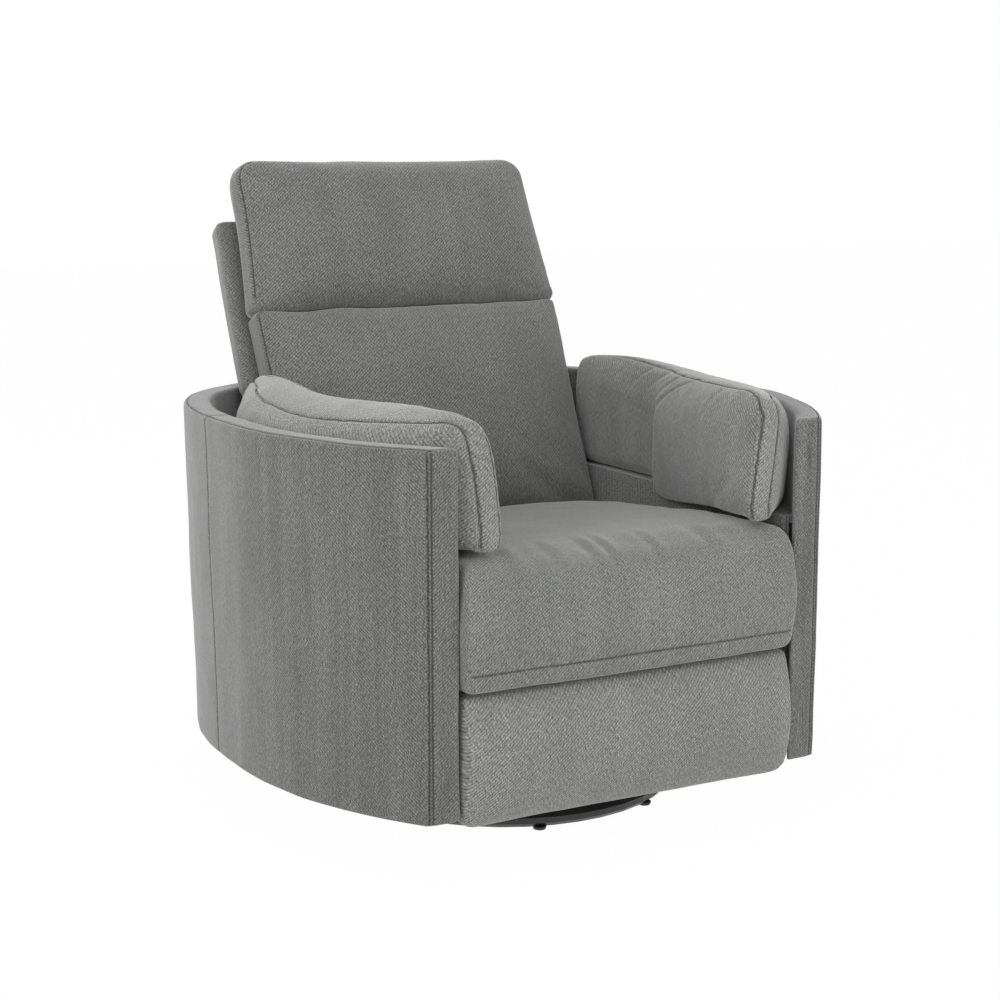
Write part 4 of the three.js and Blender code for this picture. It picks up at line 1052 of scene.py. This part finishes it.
def back_shell():
    """The upholstered board behind the back's cushions, with a seam round its rear."""
    half, front, rear, low, high, corner = 0.300, 0.0585, 0.1120, 0.415, 1.074, 0.014
    bm = bmesh.new()
    bmesh.ops.create_cube(bm, size=1)
    bmesh.ops.scale(bm, vec=(2 * half, rear - front, high - low), verts=bm.verts)
    bmesh.ops.translate(bm, vec=(0, (front + rear) / 2, (low + high) / 2), verts=bm.verts)
    bmesh.ops.bevel(bm, geom=bm.edges, offset=corner, offset_type="OFFSET", segments=4, profile=0.5,
                    affect="EDGES", material=-1)
    obj = to_object("back_shell", bm)
    regrid(obj, BOARD_GRID)
    points = points_of(obj.data)
    points[:, 0] *= np.interp(points[:, 2], *FRAME_SPREAD)
    set_points(obj.data, points)
    fill(obj, lambda points: np.clip((BOARD_HELD - points[:, 1]) / BOARD_FADE, 0, 1), BOARD_SWELL)
    refine(obj)
    seam_half = half - BOARD_SEAM
    outline = pad_outline(low + BOARD_SEAM, high - BOARD_SEAM, seam_half, seam_half, corner, corner, 0.0)
    loop = [Vector((x * np.interp(z, *FRAME_SPREAD), rear, z)) for x, z in outline]
    loop.append(loop[0])
    ruffle(obj, "board")
    press(obj, [loop])
    lay_cloth(obj, box_unroll)
    seam = thread("back_shell_thread", obj, [loop], "back", LEANING)
    obj.data.transform(LEANING)
    dress(obj, cover_cloth("back"), "back", "back_frame")
    for piece in (obj, seam):
        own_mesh(piece)


FOOT_SWELL = 0.010
FOOT_SEAM_HOLD = 0.2


def footrest_cushion():
    obj, _ = make_pad("footrest_cover", FOOT, FOOT_SWELL, FOOT_SEAM_HOLD)
    keep_between(obj, FOOT_LIMIT)
    ruffle(obj, "foot")
    press(obj, [])
    lay_cloth(obj, pad_unroll(FOOT["seam"] + SEAM_SLACK))
    dress(obj, cover_cloth("foot"), "footrest", "footrest_pad", padded=0.7)


seat_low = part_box("seat_cushion")[0]
SEAT_HALF = 0.3020
SEAT_FRONT = seat_low.y
SEAT_REAR = 0.060

# Share of the way to the front, and the top's height there at the sides and in the middle.
SEAT_TOPS = np.array([
    (0.0, 0.432, 0.454), (0.113, 0.441, 0.459), (0.302, 0.457, 0.466), (0.491, 0.471, 0.472),
    (0.680, 0.4825, 0.477), (0.794, 0.4850, 0.479), (0.86, 0.4835, 0.479),
])
SEAT_SIDE_LIMIT = 0.3035
SEAT_BULGE = 0.030
PAD_BOTTOM = 0.350
APRON_BOTTOM = seat_low.z - 0.001
APRON_DEPTH = 0.065
STITCH_Z = APRON_BOTTOM + 0.031
STITCH_Y = SEAT_FRONT - SEAT_BULGE + 0.012
STITCH_END = 0.294
TOP_SHARES = np.linspace(0.08, 0.86, 14)
REAR_RADIUS = 0.030
NOSE_RADIUS = 0.043
NOSE_BACK = 0.004
ROLL_RADIUS = 0.013
ROLL_BACK = 0.014
ROLL_TOP = 0.009
SIDE_RADIUS = 0.011
SIDE_RINGS = 6
SEAT_RINGS = 30

# Down the front from nose to stitch: the share of the way that is left, and the distance back.
FRONT_BACKS = ((0.75, 0.001), (0.5, 0.0), (0.25, 0.003), (0.1, 0.008), (0, 0.012))


def seat_profile(middle):
    """The seat's side outline in Y and Z, from the rear over the top and down the apron."""
    points = [(SEAT_REAR, PAD_BOTTOM)]

    def top(share):
        side, centre = (np.interp(share, SEAT_TOPS[:, 0], SEAT_TOPS[:, column]) for column in (1, 2))
        return side + (centre - side) * middle

    points += arc(SEAT_REAR - REAR_RADIUS, top(0) - REAR_RADIUS, REAR_RADIUS, 0, 5)
    points += [(SEAT_REAR + (SEAT_FRONT - SEAT_REAR) * share, top(share)) for share in TOP_SHARES]
    front = SEAT_FRONT - SEAT_BULGE
    nose_z = top(1) - NOSE_RADIUS
    points += arc(front + NOSE_BACK + NOSE_RADIUS, nose_z, NOSE_RADIUS, math.pi / 2, 8)
    points += [(front + back, STITCH_Z + (nose_z - STITCH_Z) * share) for share, back in FRONT_BACKS]
    points.append((STITCH_Y, STITCH_Z - ROLL_TOP))
    roll_z = APRON_BOTTOM + ROLL_RADIUS
    points += arc(front + ROLL_BACK + ROLL_RADIUS, roll_z, ROLL_RADIUS, math.pi, 4)
    points += arc(SEAT_FRONT + APRON_DEPTH - ROLL_RADIUS, roll_z, ROLL_RADIUS, math.pi * 1.5, 4)
    points.append((SEAT_FRONT + APRON_DEPTH, PAD_BOTTOM))
    return points


# Place across the seat, half width and depth of each soft wrinkle on its nose.
SEAT_WRINKLES = [
    (-0.205, 0.016, 0.0026), (-0.120, 0.012, 0.0020), (-0.050, 0.011, 0.0032),
    (-0.020, 0.009, 0.0028), (0.030, 0.010, 0.0024), (0.130, 0.015, 0.0022), (0.235, 0.014, 0.0016),
]
SHRINK_FADE = 0.02


def seat_ring(x, shrink):
    """The seat's outline at a place across it, drawn in near its sides."""
    share = x / SEAT_HALF
    centre_y = SEAT_FRONT + APRON_DEPTH * 0.7
    ring = []
    for y, z in seat_profile(1 - abs(share) ** 2.5):
        lift = min(max((z - PAD_BOTTOM) / SHRINK_FADE, 0), 1)
        y_in = shrink * (1 if y < centre_y else -1) * min(abs(y - centre_y) / SHRINK_FADE, 1)
        ring.append((x, y + y_in, z - shrink * lift))
    return ring


WRINKLE_FAN = 0.10
RIDGE_SHARE = 0.6
RIDGE_OFFSET = 1.6
TUCK_X = -0.278
TUCK_SLOPE = 1.1
TUCK_WIDTH = 0.005
TUCK_DEPTH = 0.003
APRON_TAPER = 0.026


def crumple(obj):
    """Soft upright wrinkles over the seat's nose, a tuck at its lower corner and a tapered apron."""
    points = points_of(obj.data)
    rise = points[:, 2] - STITCH_Z
    front = np.clip((SEAT_FRONT + 0.10 - points[:, 1]) / 0.06, 0, 1)
    high = np.clip((rise - 0.02) / 0.05, 0, 1)
    depth = np.zeros(len(points))
    for x, width, height in SEAT_WRINKLES:
        across = (points[:, 0] - x - WRINKLE_FAN * rise * np.sign(x)) / width
        ridge = RIDGE_SHARE * np.exp(-(across - RIDGE_OFFSET) ** 2)
        depth += height * (np.exp(-across ** 2) - ridge)
    tuck = (points[:, 0] - TUCK_X - TUCK_SLOPE * (rise + 0.012)) / TUCK_WIDTH
    low = np.clip(1 - np.abs(rise + 0.010) / 0.018, 0, 1)
    lift = -depth * front * high - TUCK_DEPTH * np.exp(-tuck ** 2) * low * front
    points += normals_of(obj.data) * lift[:, None]
    below = np.clip((STITCH_Z - points[:, 2]) / (STITCH_Z - APRON_BOTTOM), 0, 1)
    points[:, 0] *= 1 - APRON_TAPER * below ** 2
    set_points(obj.data, points)


SEAT_GRID_SHARE = 1.12
SEAT_SWELL = 0.011
STITCH_HOLD = 0.005
STITCH_DEPTH = 0.0011
STITCH_WIDTH = 0.0036


def seat_cushion():
    """The seat, with an apron down its front that a row of stitches holds."""
    rings = []
    for step in range(SIDE_RINGS):
        angle = step / SIDE_RINGS * math.pi / 2
        rings.append(seat_ring(-SEAT_HALF + SIDE_RADIUS * (1 - math.cos(angle)),
                               SIDE_RADIUS * (1 - math.sin(angle))))
    for x in np.linspace(SIDE_RADIUS - SEAT_HALF, SEAT_HALF - SIDE_RADIUS, SEAT_RINGS):
        rings.append(seat_ring(x, 0.0))
    rings.extend([[(-x, y, z) for x, y, z in ring] for ring in reversed(rings[:SIDE_RINGS])])
    bm = bmesh.new()
    sweep(bm, rings)
    obj = to_object("seat_cover", bm)
    regrid(obj, bpy.context.scene.chair_sizes.skin_grid * SEAT_GRID_SHARE)
    stitch = [Vector((x, STITCH_Y, STITCH_Z)) for x in np.linspace(-STITCH_END, STITCH_END, 60)]

    def held(points):
        under = np.clip((PAD_BOTTOM + 0.010 - points[:, 2]) / 0.006, 0, 1)
        behind = np.clip((points[:, 1] - SEAT_FRONT - APRON_DEPTH + 0.020) / 0.012, 0, 1)
        return np.maximum(under * behind, 0.9 * near_line(points, stitch, STITCH_HOLD))

    fill(obj, held, SEAT_SWELL)
    refine(obj)
    keep_between(obj, SEAT_SIDE_LIMIT)
    crumple(obj)
    ruffle(obj, "seat")
    press(obj, [stitch], STITCH_DEPTH, STITCH_WIDTH)

    def unroll(centre, normal):
        if abs(normal.x) > 0.8:
            return FLAT_MAPS[0]
        return lambda vert, point: (point[0], point[1] + point[2])

    lay_cloth(obj, unroll)
    topstitch("seat_topstitch", obj, stitch, "seat")
    dress(obj, cover_cloth("seat"), "seat", "seat_cushion", padded=0.75)


# Arm pillows.

pillow_low, pillow_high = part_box("arm_pillow_left")
DECK_TOP = pillow_low.z
PILLOW_HEIGHT = pillow_high.z - pillow_low.z

# A pillow's section and filling, its band's seams, its tilt and what it keeps clear of.
PILLOW_POWER = 2.8
PILLOW_SIDES = 40
PILLOW_DRAW = 0.003
PILLOW_SWELL = 0.010
PILLOW_PASSES = 6
BAND_HOLD = 0.8
BAND_DEPTH = 0.0024
BAND_WIDTH = 0.0040
OUTER_BAND_EDGE = 0.042
INNER_BAND_EDGE = 0.036
NOSE_BAND = 0.0200
NOSE_BAND_X = 0.266
BAND_REAR = 0.012
BAND_FRONT = 0.014
BAND_BLEND = 0.08
BAND_LEAST_SHARE = 0.30
TOP_TILT = 0.021
NOSE_SHEAR = 0.024
SHEAR_START = -0.33
SHEAR_RUN = 0.11
SHEAR_TOP = 0.19
SHEAR_FADE = 0.17
BACK_CLEAR = 0.3066
BACK_SWEEP_Y = -0.062
BOARD_FACE = 0.3057
BOARD_RAMP = 0.0015
WALL_CLEAR = 0.0008
DECK_CLEAR = 0.0002

# Depths, and how square a pillow's underside is there.
BOTTOM_POWERS = ([-0.43, -0.34], [4.5, 13.0])

# Depth, inner side, gap to the shell and share of the height, from the nose to the rear tip.
PILLOW_TABLE = np.array([
    (pillow_low.y, 0.2500, 0.0260, 0.77), (-0.456, 0.2425, 0.0140, 0.90),
    (-0.440, 0.2380, 0.0050, 0.965), (-0.410, 0.2360, 0.0010, 0.99), (-0.373, 0.2330, 0.0006, 1.00),
    (-0.300, 0.2400, 0.0006, 1.00), (-0.224, 0.2580, 0.0006, 0.99), (-0.150, 0.2790, 0.0006, 0.98),
    (-0.100, 0.2910, 0.0006, 0.98), (-0.050, 0.3036, 0.0006, 0.99), (0.000, 0.3036, 0.0010, 1.005),
    (0.050, 0.3036, 0.0070, 1.02), (0.100, 0.3036, 0.0220, 1.02), (0.150, 0.3036, 0.0370, 1.015),
    (0.190, 0.3050, 0.0460, 1.00), (0.215, 0.3080, 0.0530, 0.97), (0.230, 0.3140, 0.0630, 0.90),
    (0.240, 0.3220, 0.0720, 0.78),
])

# Depths, and how far the inner panel hangs past the deck there, down to the seat.
SKIRT_DROPS = ([-0.42, -0.36, -0.30, -0.25, -0.20, -0.15, -0.11, -0.060, -0.055],
               [0.001, 0.002, 0.006, 0.012, 0.019, 0.027, 0.0325, 0.038, 0.0])
SKIRT_REACH = 0.09
NOSE_DROP = 0.004
NOSE_END = -0.441
NOSE_RAMP = 0.008


def pillow_section(y):
    """A pillow's middle, half width and half height at a depth."""
    inner, gap, height = (float(np.interp(y, PILLOW_TABLE[:, 0], PILLOW_TABLE[:, column]))
                          for column in (1, 2, 3))
    outer = plan_x(y, INNER) - gap
    return (outer + inner) / 2, (outer - inner) / 2, PILLOW_HEIGHT * height / 2


def pillow_point(y, across, up):
    """A point of a pillow's section. Across and up go from -1 to 1, and the top leans outwards."""
    centre, half, rise = pillow_section(y)
    z = DECK_TOP + rise + rise * up - TOP_TILT * across * max(up, 0)
    forward = max(min((SHEAR_START - y) / SHEAR_RUN, 1), 0)
    low = min(max((DECK_TOP + SHEAR_TOP - z) / SHEAR_FADE, 0), 1)
    return Vector((centre + half * across - NOSE_SHEAR * (forward * low), y, z))


def pillow_ring(y):
    """A pillow's section before it is filled: a rounded box with a squarer underside."""
    _, half, rise = pillow_section(y)
    ring = []
    for step in range(PILLOW_SIDES):
        angle = step / PILLOW_SIDES * math.tau
        across, up = math.cos(angle), math.sin(angle)
        power = 2 / (PILLOW_POWER if up > 0 else float(np.interp(y, *BOTTOM_POWERS)))
        ring.append(pillow_point(
            y, abs(across) ** power * math.copysign(1, across) * (1 - PILLOW_DRAW / half),
            abs(up) ** power * math.copysign(1, up) * (1 - PILLOW_DRAW / rise)))
    return ring


def pillow_seams():
    """The two seams of the band that runs over a pillow's top and down its nose."""
    lines = []
    front, rear = PILLOW_TABLE[0, 0], PILLOW_TABLE[-1, 0]
    for way, edge in ((-1, INNER_BAND_EDGE), (1, OUTER_BAND_EDGE)):
        line = []
        for y in np.linspace(rear - BAND_REAR, front + BAND_FRONT, 60):
            centre, half, _ = pillow_section(y)
            blend = min((y - front) / BAND_BLEND, 1)
            blend = blend * blend * (3 - 2 * blend)
            wide = way * max(half - edge, half * BAND_LEAST_SHARE)
            narrow = NOSE_BAND_X - centre + way * NOSE_BAND
            across = (narrow + (wide - narrow) * blend) / half
            up = (1 - min(abs(across), 0.99) ** PILLOW_POWER) ** (1 / PILLOW_POWER)
            line.append(pillow_point(y, across, up))
        centre, half, _ = pillow_section(front)
        across = (NOSE_BAND_X - centre + way * NOSE_BAND) / half
        for up in np.linspace(0.90, -0.95, 24):
            spot = pillow_point(front, across, up)
            line.append(spot + Vector((0.006 * min(up, 0) ** 4, -0.002, 0)))
        lines.append(steady(line))
    return lines


# Each fold's start on the inner top seam, how far it runs back, its length down and its depth.
FOLDS = {
    "left": [(-0.215, 0.190, 0.170, 0.0036), (-0.140, 0.120, 0.075, 0.0028),
             (-0.080, 0.090, 0.055, 0.0020), (-0.020, 0.085, 0.060, 0.0024),
             (0.050, 0.070, 0.050, 0.0018), (-0.330, 0.060, 0.060, 0.0014)],
    "right": [(-0.250, 0.120, 0.110, 0.0026), (-0.160, 0.100, 0.090, 0.0026),
              (-0.060, 0.090, 0.070, 0.0022), (0.020, 0.080, 0.050, 0.0018)],
}


FOLD_BEND = 0.045
CREASE_SLOPE = 0.75
CREASE_DEPTH = 0.0026


def folds(points, normals, side):
    """Depth of the soft folds that fan down a pillow's inner panel from its top seam."""
    depth = np.zeros(len(points))
    drop = pillow_high.z - points[:, 2]
    inner = np.clip(-normals[:, 0] * 1.6 - 0.1, 0, 1)
    for start, run, length, height in FOLDS[side]:
        middle = start + run * (1 - np.exp(-np.maximum(drop, 0) / FOLD_BEND))
        fade = np.clip(1.2 - drop / length, 0, 1) * np.clip((drop + 0.004) / 0.014, 0, 1)
        across = (points[:, 1] - middle) / (0.006 + 0.04 * np.maximum(drop, 0))
        depth += height * fade * (np.exp(-across ** 2) - 0.1 * np.exp(-(across + 1.7) ** 2))
    crease = (points[:, 2] - 0.560 + CREASE_SLOPE * (points[:, 1] + 0.400)) / 0.011
    along = np.clip(1 - np.abs(points[:, 1] + 0.375) / 0.075, 0, 1)
    return (depth + CREASE_DEPTH * np.exp(-crease ** 2) * along) * inner


bezel_low, bezel_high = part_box("release_bezel")
LEVER_LIFT = 0.030
LEVER_ROOM = 0.006
LEVER_GAP = 0.0035
DENT_RISE = 0.016
DENT_FADE = 0.020


def clear_lever(points):
    """Dents a pillow's underside over the release lever, which lies on the other side of X."""
    y_middle = (bezel_low.y + bezel_high.y) / 2
    y_half = (bezel_high.y - bezel_low.y) / 2
    along = np.clip(2.2 - np.abs(points[:, 1] - y_middle) / (y_half + LEVER_ROOM), 0, 1)
    low = np.clip((bezel_high.z + LEVER_LIFT + DENT_RISE - points[:, 2]) / DENT_FADE, 0, 1)
    points[:, 0] += np.maximum(-bezel_low.x + LEVER_GAP - points[:, 0], 0) * along * low


def settle(points):
    """Hangs a pillow's inner panel down to the seat, and keeps the rest clear of its neighbours."""
    sag = np.interp(points[:, 1], *SKIRT_DROPS)
    sag *= np.clip((BOARD_FACE - points[:, 0]) / BOARD_RAMP, 0, 1)
    sag = np.maximum(sag, NOSE_DROP * np.clip((NOSE_END - points[:, 1]) / NOSE_RAMP, 0, 1))
    points[:, 2] -= sag * np.clip((DECK_TOP + SKIRT_REACH - points[:, 2]) / SKIRT_REACH, 0, 1)
    over_deck = (points[:, 0] > BOARD_FACE) & (points[:, 1] > NOSE_END)
    points[over_deck, 2] = np.maximum(points[over_deck, 2], DECK_TOP + DECK_CLEAR)
    limit = np.array([plan_x(y, INNER) for y in points[:, 1]]) - WALL_CLEAR
    points[:, 0] = np.minimum(points[:, 0], limit)
    rear_part = points[:, 1] > BACK_SWEEP_Y
    points[rear_part, 0] = np.maximum(points[rear_part, 0], BACK_CLEAR)


def arm_pillow(side):
    """A pillow, made as the left one and turned over for the right."""
    front, rear = PILLOW_TABLE[0, 0], PILLOW_TABLE[-1, 0]
    depths = [*np.linspace(front, front + 0.02, 7), *np.linspace(front + 0.032, rear - 0.05, 44),
              *np.linspace(rear - 0.04, rear, 9)]
    bm = bmesh.new()
    sweep(bm, [pillow_ring(y) for y in depths])
    name = f"arm_pillow_cover_{side}"
    obj = to_object(name, bm)
    regrid(obj, bpy.context.scene.chair_sizes.skin_grid)
    lines = pillow_seams()

    def held(points):
        floor = np.clip((DECK_TOP + 0.008 - points[:, 2]) / 0.006, 0, 1)
        wall = np.array([plan_x(y, INNER) for y in points[:, 1]]) - points[:, 0]
        seams = np.maximum(*(near_line(points, line, SEAM_HOLD) for line in lines))
        return np.maximum(np.maximum(floor, np.clip((0.010 - wall) / 0.006, 0, 1)), BAND_HOLD * seams)

    fill(obj, held, PILLOW_SWELL, PILLOW_PASSES)
    refine(obj)
    points = points_of(obj.data)
    points -= normals_of(obj.data) * folds(points, normals_of(obj.data), side)[:, None]
    settle(points)
    if side == "right":
        clear_lever(points)
    set_points(obj.data, points)
    ruffle(obj, "pillow")
    press(obj, lines, BAND_DEPTH, BAND_WIDTH)
    if side == "right":
        obj.data.transform(Matrix.Scale(-1, 4, (1, 0, 0)))
        obj.data.flip_normals()
        lines = mirrored(lines)
    lay_cloth(obj, box_unroll)
    thread(f"{name}_thread", obj, lines, "carriage")
    dress(obj, cover_cloth("pillow"), "carriage", f"arm_pillow_{side}", padded=0.65)


# Finishes of the frame's own nodes.

COVERED = ("arm_inner_board", "arm_deck")


def finish_frame():
    """Gives each of the frame's nodes the finish of its slot, and cloth where it is covered."""
    colours = bpy.context.scene.chair_colours
    finishes = {
        "chenille": chenille("chenille_plain", colours.chenille, 0.1, where="object"),
        "black_steel": powder_coat(colours.black_steel),
        "zinc_steel": plated("zinc_plate", colours.zinc, 500, 0.38),
        "spring_steel": plated("oiled_wire", colours.spring_wire, 300, 0.34),
        "plywood": plywood(colours.plywood),
        "black_plastic": moulded_plastic(colours.plastic),
    }
    for part in frame["record"]["subparts"]:
        name = part["node"]
        slot = "chenille" if name.startswith(COVERED) else part["material_slot"]
        node = frame["nodes"][name]
        node.data.materials.clear()
        node.data.materials.append(finishes[slot])


# Stage.

CAMERA_PLACE = Vector((-1.64658, -3.00040, 1.10517))
CAMERA_AZIMUTH = math.radians(-29.1207)
CAMERA_ELEVATION = math.radians(10.3317)
CAMERA_LENS = 72.0
SENSOR = 36.0

# Each lamp's name, place, aim, width and height, and power.
LAMPS = (
    ("key_lamp", (-0.3, -3.0, 3.3), (0, -0.1, 0.5), (2.6, 2.0), 52),
    ("low_lamp", (0.9, -3.1, 0.55), (0, -0.4, 0.25), (2.2, 0.9), 26),
    ("fill_lamp", (-3.4, -1.2, 1.7), (0, 0, 0.5), (2.4, 2.4), 64),
    ("rim_lamp", (-1.2, 3.0, 2.6), (0, 0, 0.6), (2.4, 1.6), 36),
)
WORLD_LEVEL = 0.76
FLOOR_HALF = 14
FLOOR_DROP = 0.0006
FLOOR_GLOW = 0.985


def add_camera():
    data = bpy.data.cameras.new("photo_camera")
    data.lens = CAMERA_LENS
    data.sensor_width = SENSOR
    data.sensor_fit = "HORIZONTAL"
    camera = bpy.data.objects.new("photo_camera", data)
    bpy.context.scene.collection.objects.link(camera)
    away = Vector((math.sin(CAMERA_AZIMUTH) * math.cos(CAMERA_ELEVATION),
                   -math.cos(CAMERA_AZIMUTH) * math.cos(CAMERA_ELEVATION),
                   math.sin(CAMERA_ELEVATION)))
    camera.matrix_world = (Matrix.Translation(CAMERA_PLACE)
                           @ away.to_track_quat("Z", "Y").to_matrix().to_4x4())
    bpy.context.scene.camera = camera


def add_lamp(name, place, target, size, power):
    data = bpy.data.lights.new(name, "AREA")
    data.shape = "RECTANGLE"
    data.size, data.size_y = size
    data.energy = power
    lamp = bpy.data.objects.new(name, data)
    bpy.context.scene.collection.objects.link(lamp)
    way = Vector(place) - Vector(target)
    lamp.matrix_world = Matrix.Translation(place) @ way.to_track_quat("Z", "Y").to_matrix().to_4x4()


def seen_directly(tree):
    """A factor of 1 for camera, glossy and transmission rays, and 0 for the rest."""
    path = tree.nodes.new("ShaderNodeLightPath")
    total = path.outputs["Is Camera Ray"]
    for name in ("Is Glossy Ray", "Is Transmission Ray"):
        larger = tree.nodes.new("ShaderNodeMath")
        larger.operation = "MAXIMUM"
        tree.links.new(total, larger.inputs[0])
        tree.links.new(path.outputs[name], larger.inputs[1])
        total = larger.outputs[0]
    return total


def add_world():
    """A plain world that lights evenly, and is white where it is seen."""
    world = bpy.data.worlds.new("studio")
    bpy.context.scene.world = world
    world.use_nodes = True
    tree = world.node_tree
    plain = tree.nodes["Background"]
    white = tree.nodes.new("ShaderNodeBackground")
    for background, level in ((plain, WORLD_LEVEL), (white, 1.0)):
        background.inputs["Color"].default_value = (1, 1, 1, 1)
        background.inputs["Strength"].default_value = level
    choose = tree.nodes.new("ShaderNodeMixShader")
    tree.links.new(seen_directly(tree), choose.inputs[0])
    tree.links.new(plain.outputs[0], choose.inputs[1])
    tree.links.new(white.outputs[0], choose.inputs[2])
    tree.links.new(choose.outputs[0], tree.nodes["World Output"].inputs["Surface"])


def add_floor(color):
    """A pale floor that keeps the shadow and is close to white where it is seen."""
    bm = bmesh.new()
    bmesh.ops.create_grid(bm, x_segments=2, y_segments=2, size=FLOOR_HALF)
    bmesh.ops.translate(bm, vec=(0, 0, -FLOOR_DROP), verts=bm.verts)
    floor = to_object("studio_floor", bm)
    finish = Finish("pale_floor")
    spot = finish.node("TexCoord").outputs["Object"]
    finish.finish(base_color=finish.shade(color, finish.around(finish.noise(spot, 3.0), 0.01)),
                  roughness=0.9, specular_ior_level=0.1)
    glow = finish.node("Emission", {"Color": (1, 1, 1), "Strength": 1.0})
    share = finish.math("MULTIPLY", seen_directly(finish.tree), FLOOR_GLOW)
    choose = finish.node("MixShader", {0: share, 1: finish.shader.outputs[0], 2: glow.outputs[0]})
    output = finish.tree.nodes["Material Output"]
    finish.tree.links.new(choose.outputs[0], output.inputs["Surface"])
    floor.data.materials.append(finish.material)


# Operators.

class BuildStage(bpy.types.Operator):
    """Add the camera, lamps, world and floor"""

    bl_idname = "recliner.stage"
    bl_label = "Stage"

    def execute(self, context):
        context.scene.view_settings.view_transform = "Standard"
        add_camera()
        for lamp in LAMPS:
            add_lamp(*lamp)
        add_world()
        add_floor(context.scene.chair_colours.floor)
        return {"FINISHED"}


class BuildShell(bpy.types.Operator):
    """Cover the barrel shell: two sides and the rear"""

    bl_idname = "recliner.shell"
    bl_label = "Shell"

    def execute(self, context):
        for side in SIDES:
            side_cover(side)
        rear_cover()
        return {"FINISHED"}


class BuildArmPillows(bpy.types.Operator):
    """Fill the two arm pillows"""

    bl_idname = "recliner.arm_pillows"
    bl_label = "Arm pillows"

    def execute(self, context):
        for side in SIDES:
            arm_pillow(side)
        return {"FINISHED"}


class BuildSeat(bpy.types.Operator):
    """Fill the seat cushion and topstitch its apron"""

    bl_idname = "recliner.seat"
    bl_label = "Seat"

    def execute(self, context):
        seat_cushion()
        return {"FINISHED"}


class BuildBack(bpy.types.Operator):
    """Cover the back's board and fill its lumbar and head cushions"""

    bl_idname = "recliner.back"
    bl_label = "Back"

    def execute(self, context):
        back_shell()
        back_cushion("lumbar", LUMBAR, LUMBAR_SWELL, lumbar_seams, 0.75)
        back_cushion("head", HEAD, HEAD_SWELL, head_seams, 0.8)
        return {"FINISHED"}


class BuildFootrest(bpy.types.Operator):
    """Fill the footrest's pad"""

    bl_idname = "recliner.footrest"
    bl_label = "Footrest"

    def execute(self, context):
        footrest_cushion()
        return {"FINISHED"}


class FinishFrame(bpy.types.Operator):
    """Give the frame's metal, wood and plastic their finishes"""

    bl_idname = "recliner.frame"
    bl_label = "Frame finishes"

    def execute(self, context):
        finish_frame()
        return {"FINISHED"}


OPERATORS = (BuildStage, FinishFrame, BuildShell, BuildArmPillows, BuildSeat, BuildBack, BuildFootrest)


class ReclinerPanel(bpy.types.Panel):
    """Sizes, colours and steps of the recliner"""

    bl_idname = "VIEW3D_PT_recliner"
    bl_label = "Recliner"
    bl_space_type = "VIEW_3D"
    bl_region_type = "UI"
    bl_category = "Recliner"

    def draw(self, context):
        for group in (context.scene.chair_sizes, context.scene.chair_colours):
            for name in group.__annotations__:
                self.layout.prop(group, name)
        for operator in OPERATORS:
            self.layout.operator(operator.bl_idname)


CLASSES = (ChairSizes, ChairColours, *OPERATORS, ReclinerPanel)


def register():
    for item in CLASSES:
        bpy.utils.register_class(item)
    bpy.types.Scene.chair_sizes = PointerProperty(type=ChairSizes)
    bpy.types.Scene.chair_colours = PointerProperty(type=ChairColours)


def unregister():
    del bpy.types.Scene.chair_colours
    del bpy.types.Scene.chair_sizes
    for item in reversed(CLASSES):
        bpy.utils.unregister_class(item)


def main():
    register()
    for operator in OPERATORS:
        group, name = operator.bl_idname.split(".")
        getattr(getattr(bpy.ops, group), name)()


if __name__ == "__main__":
    main()
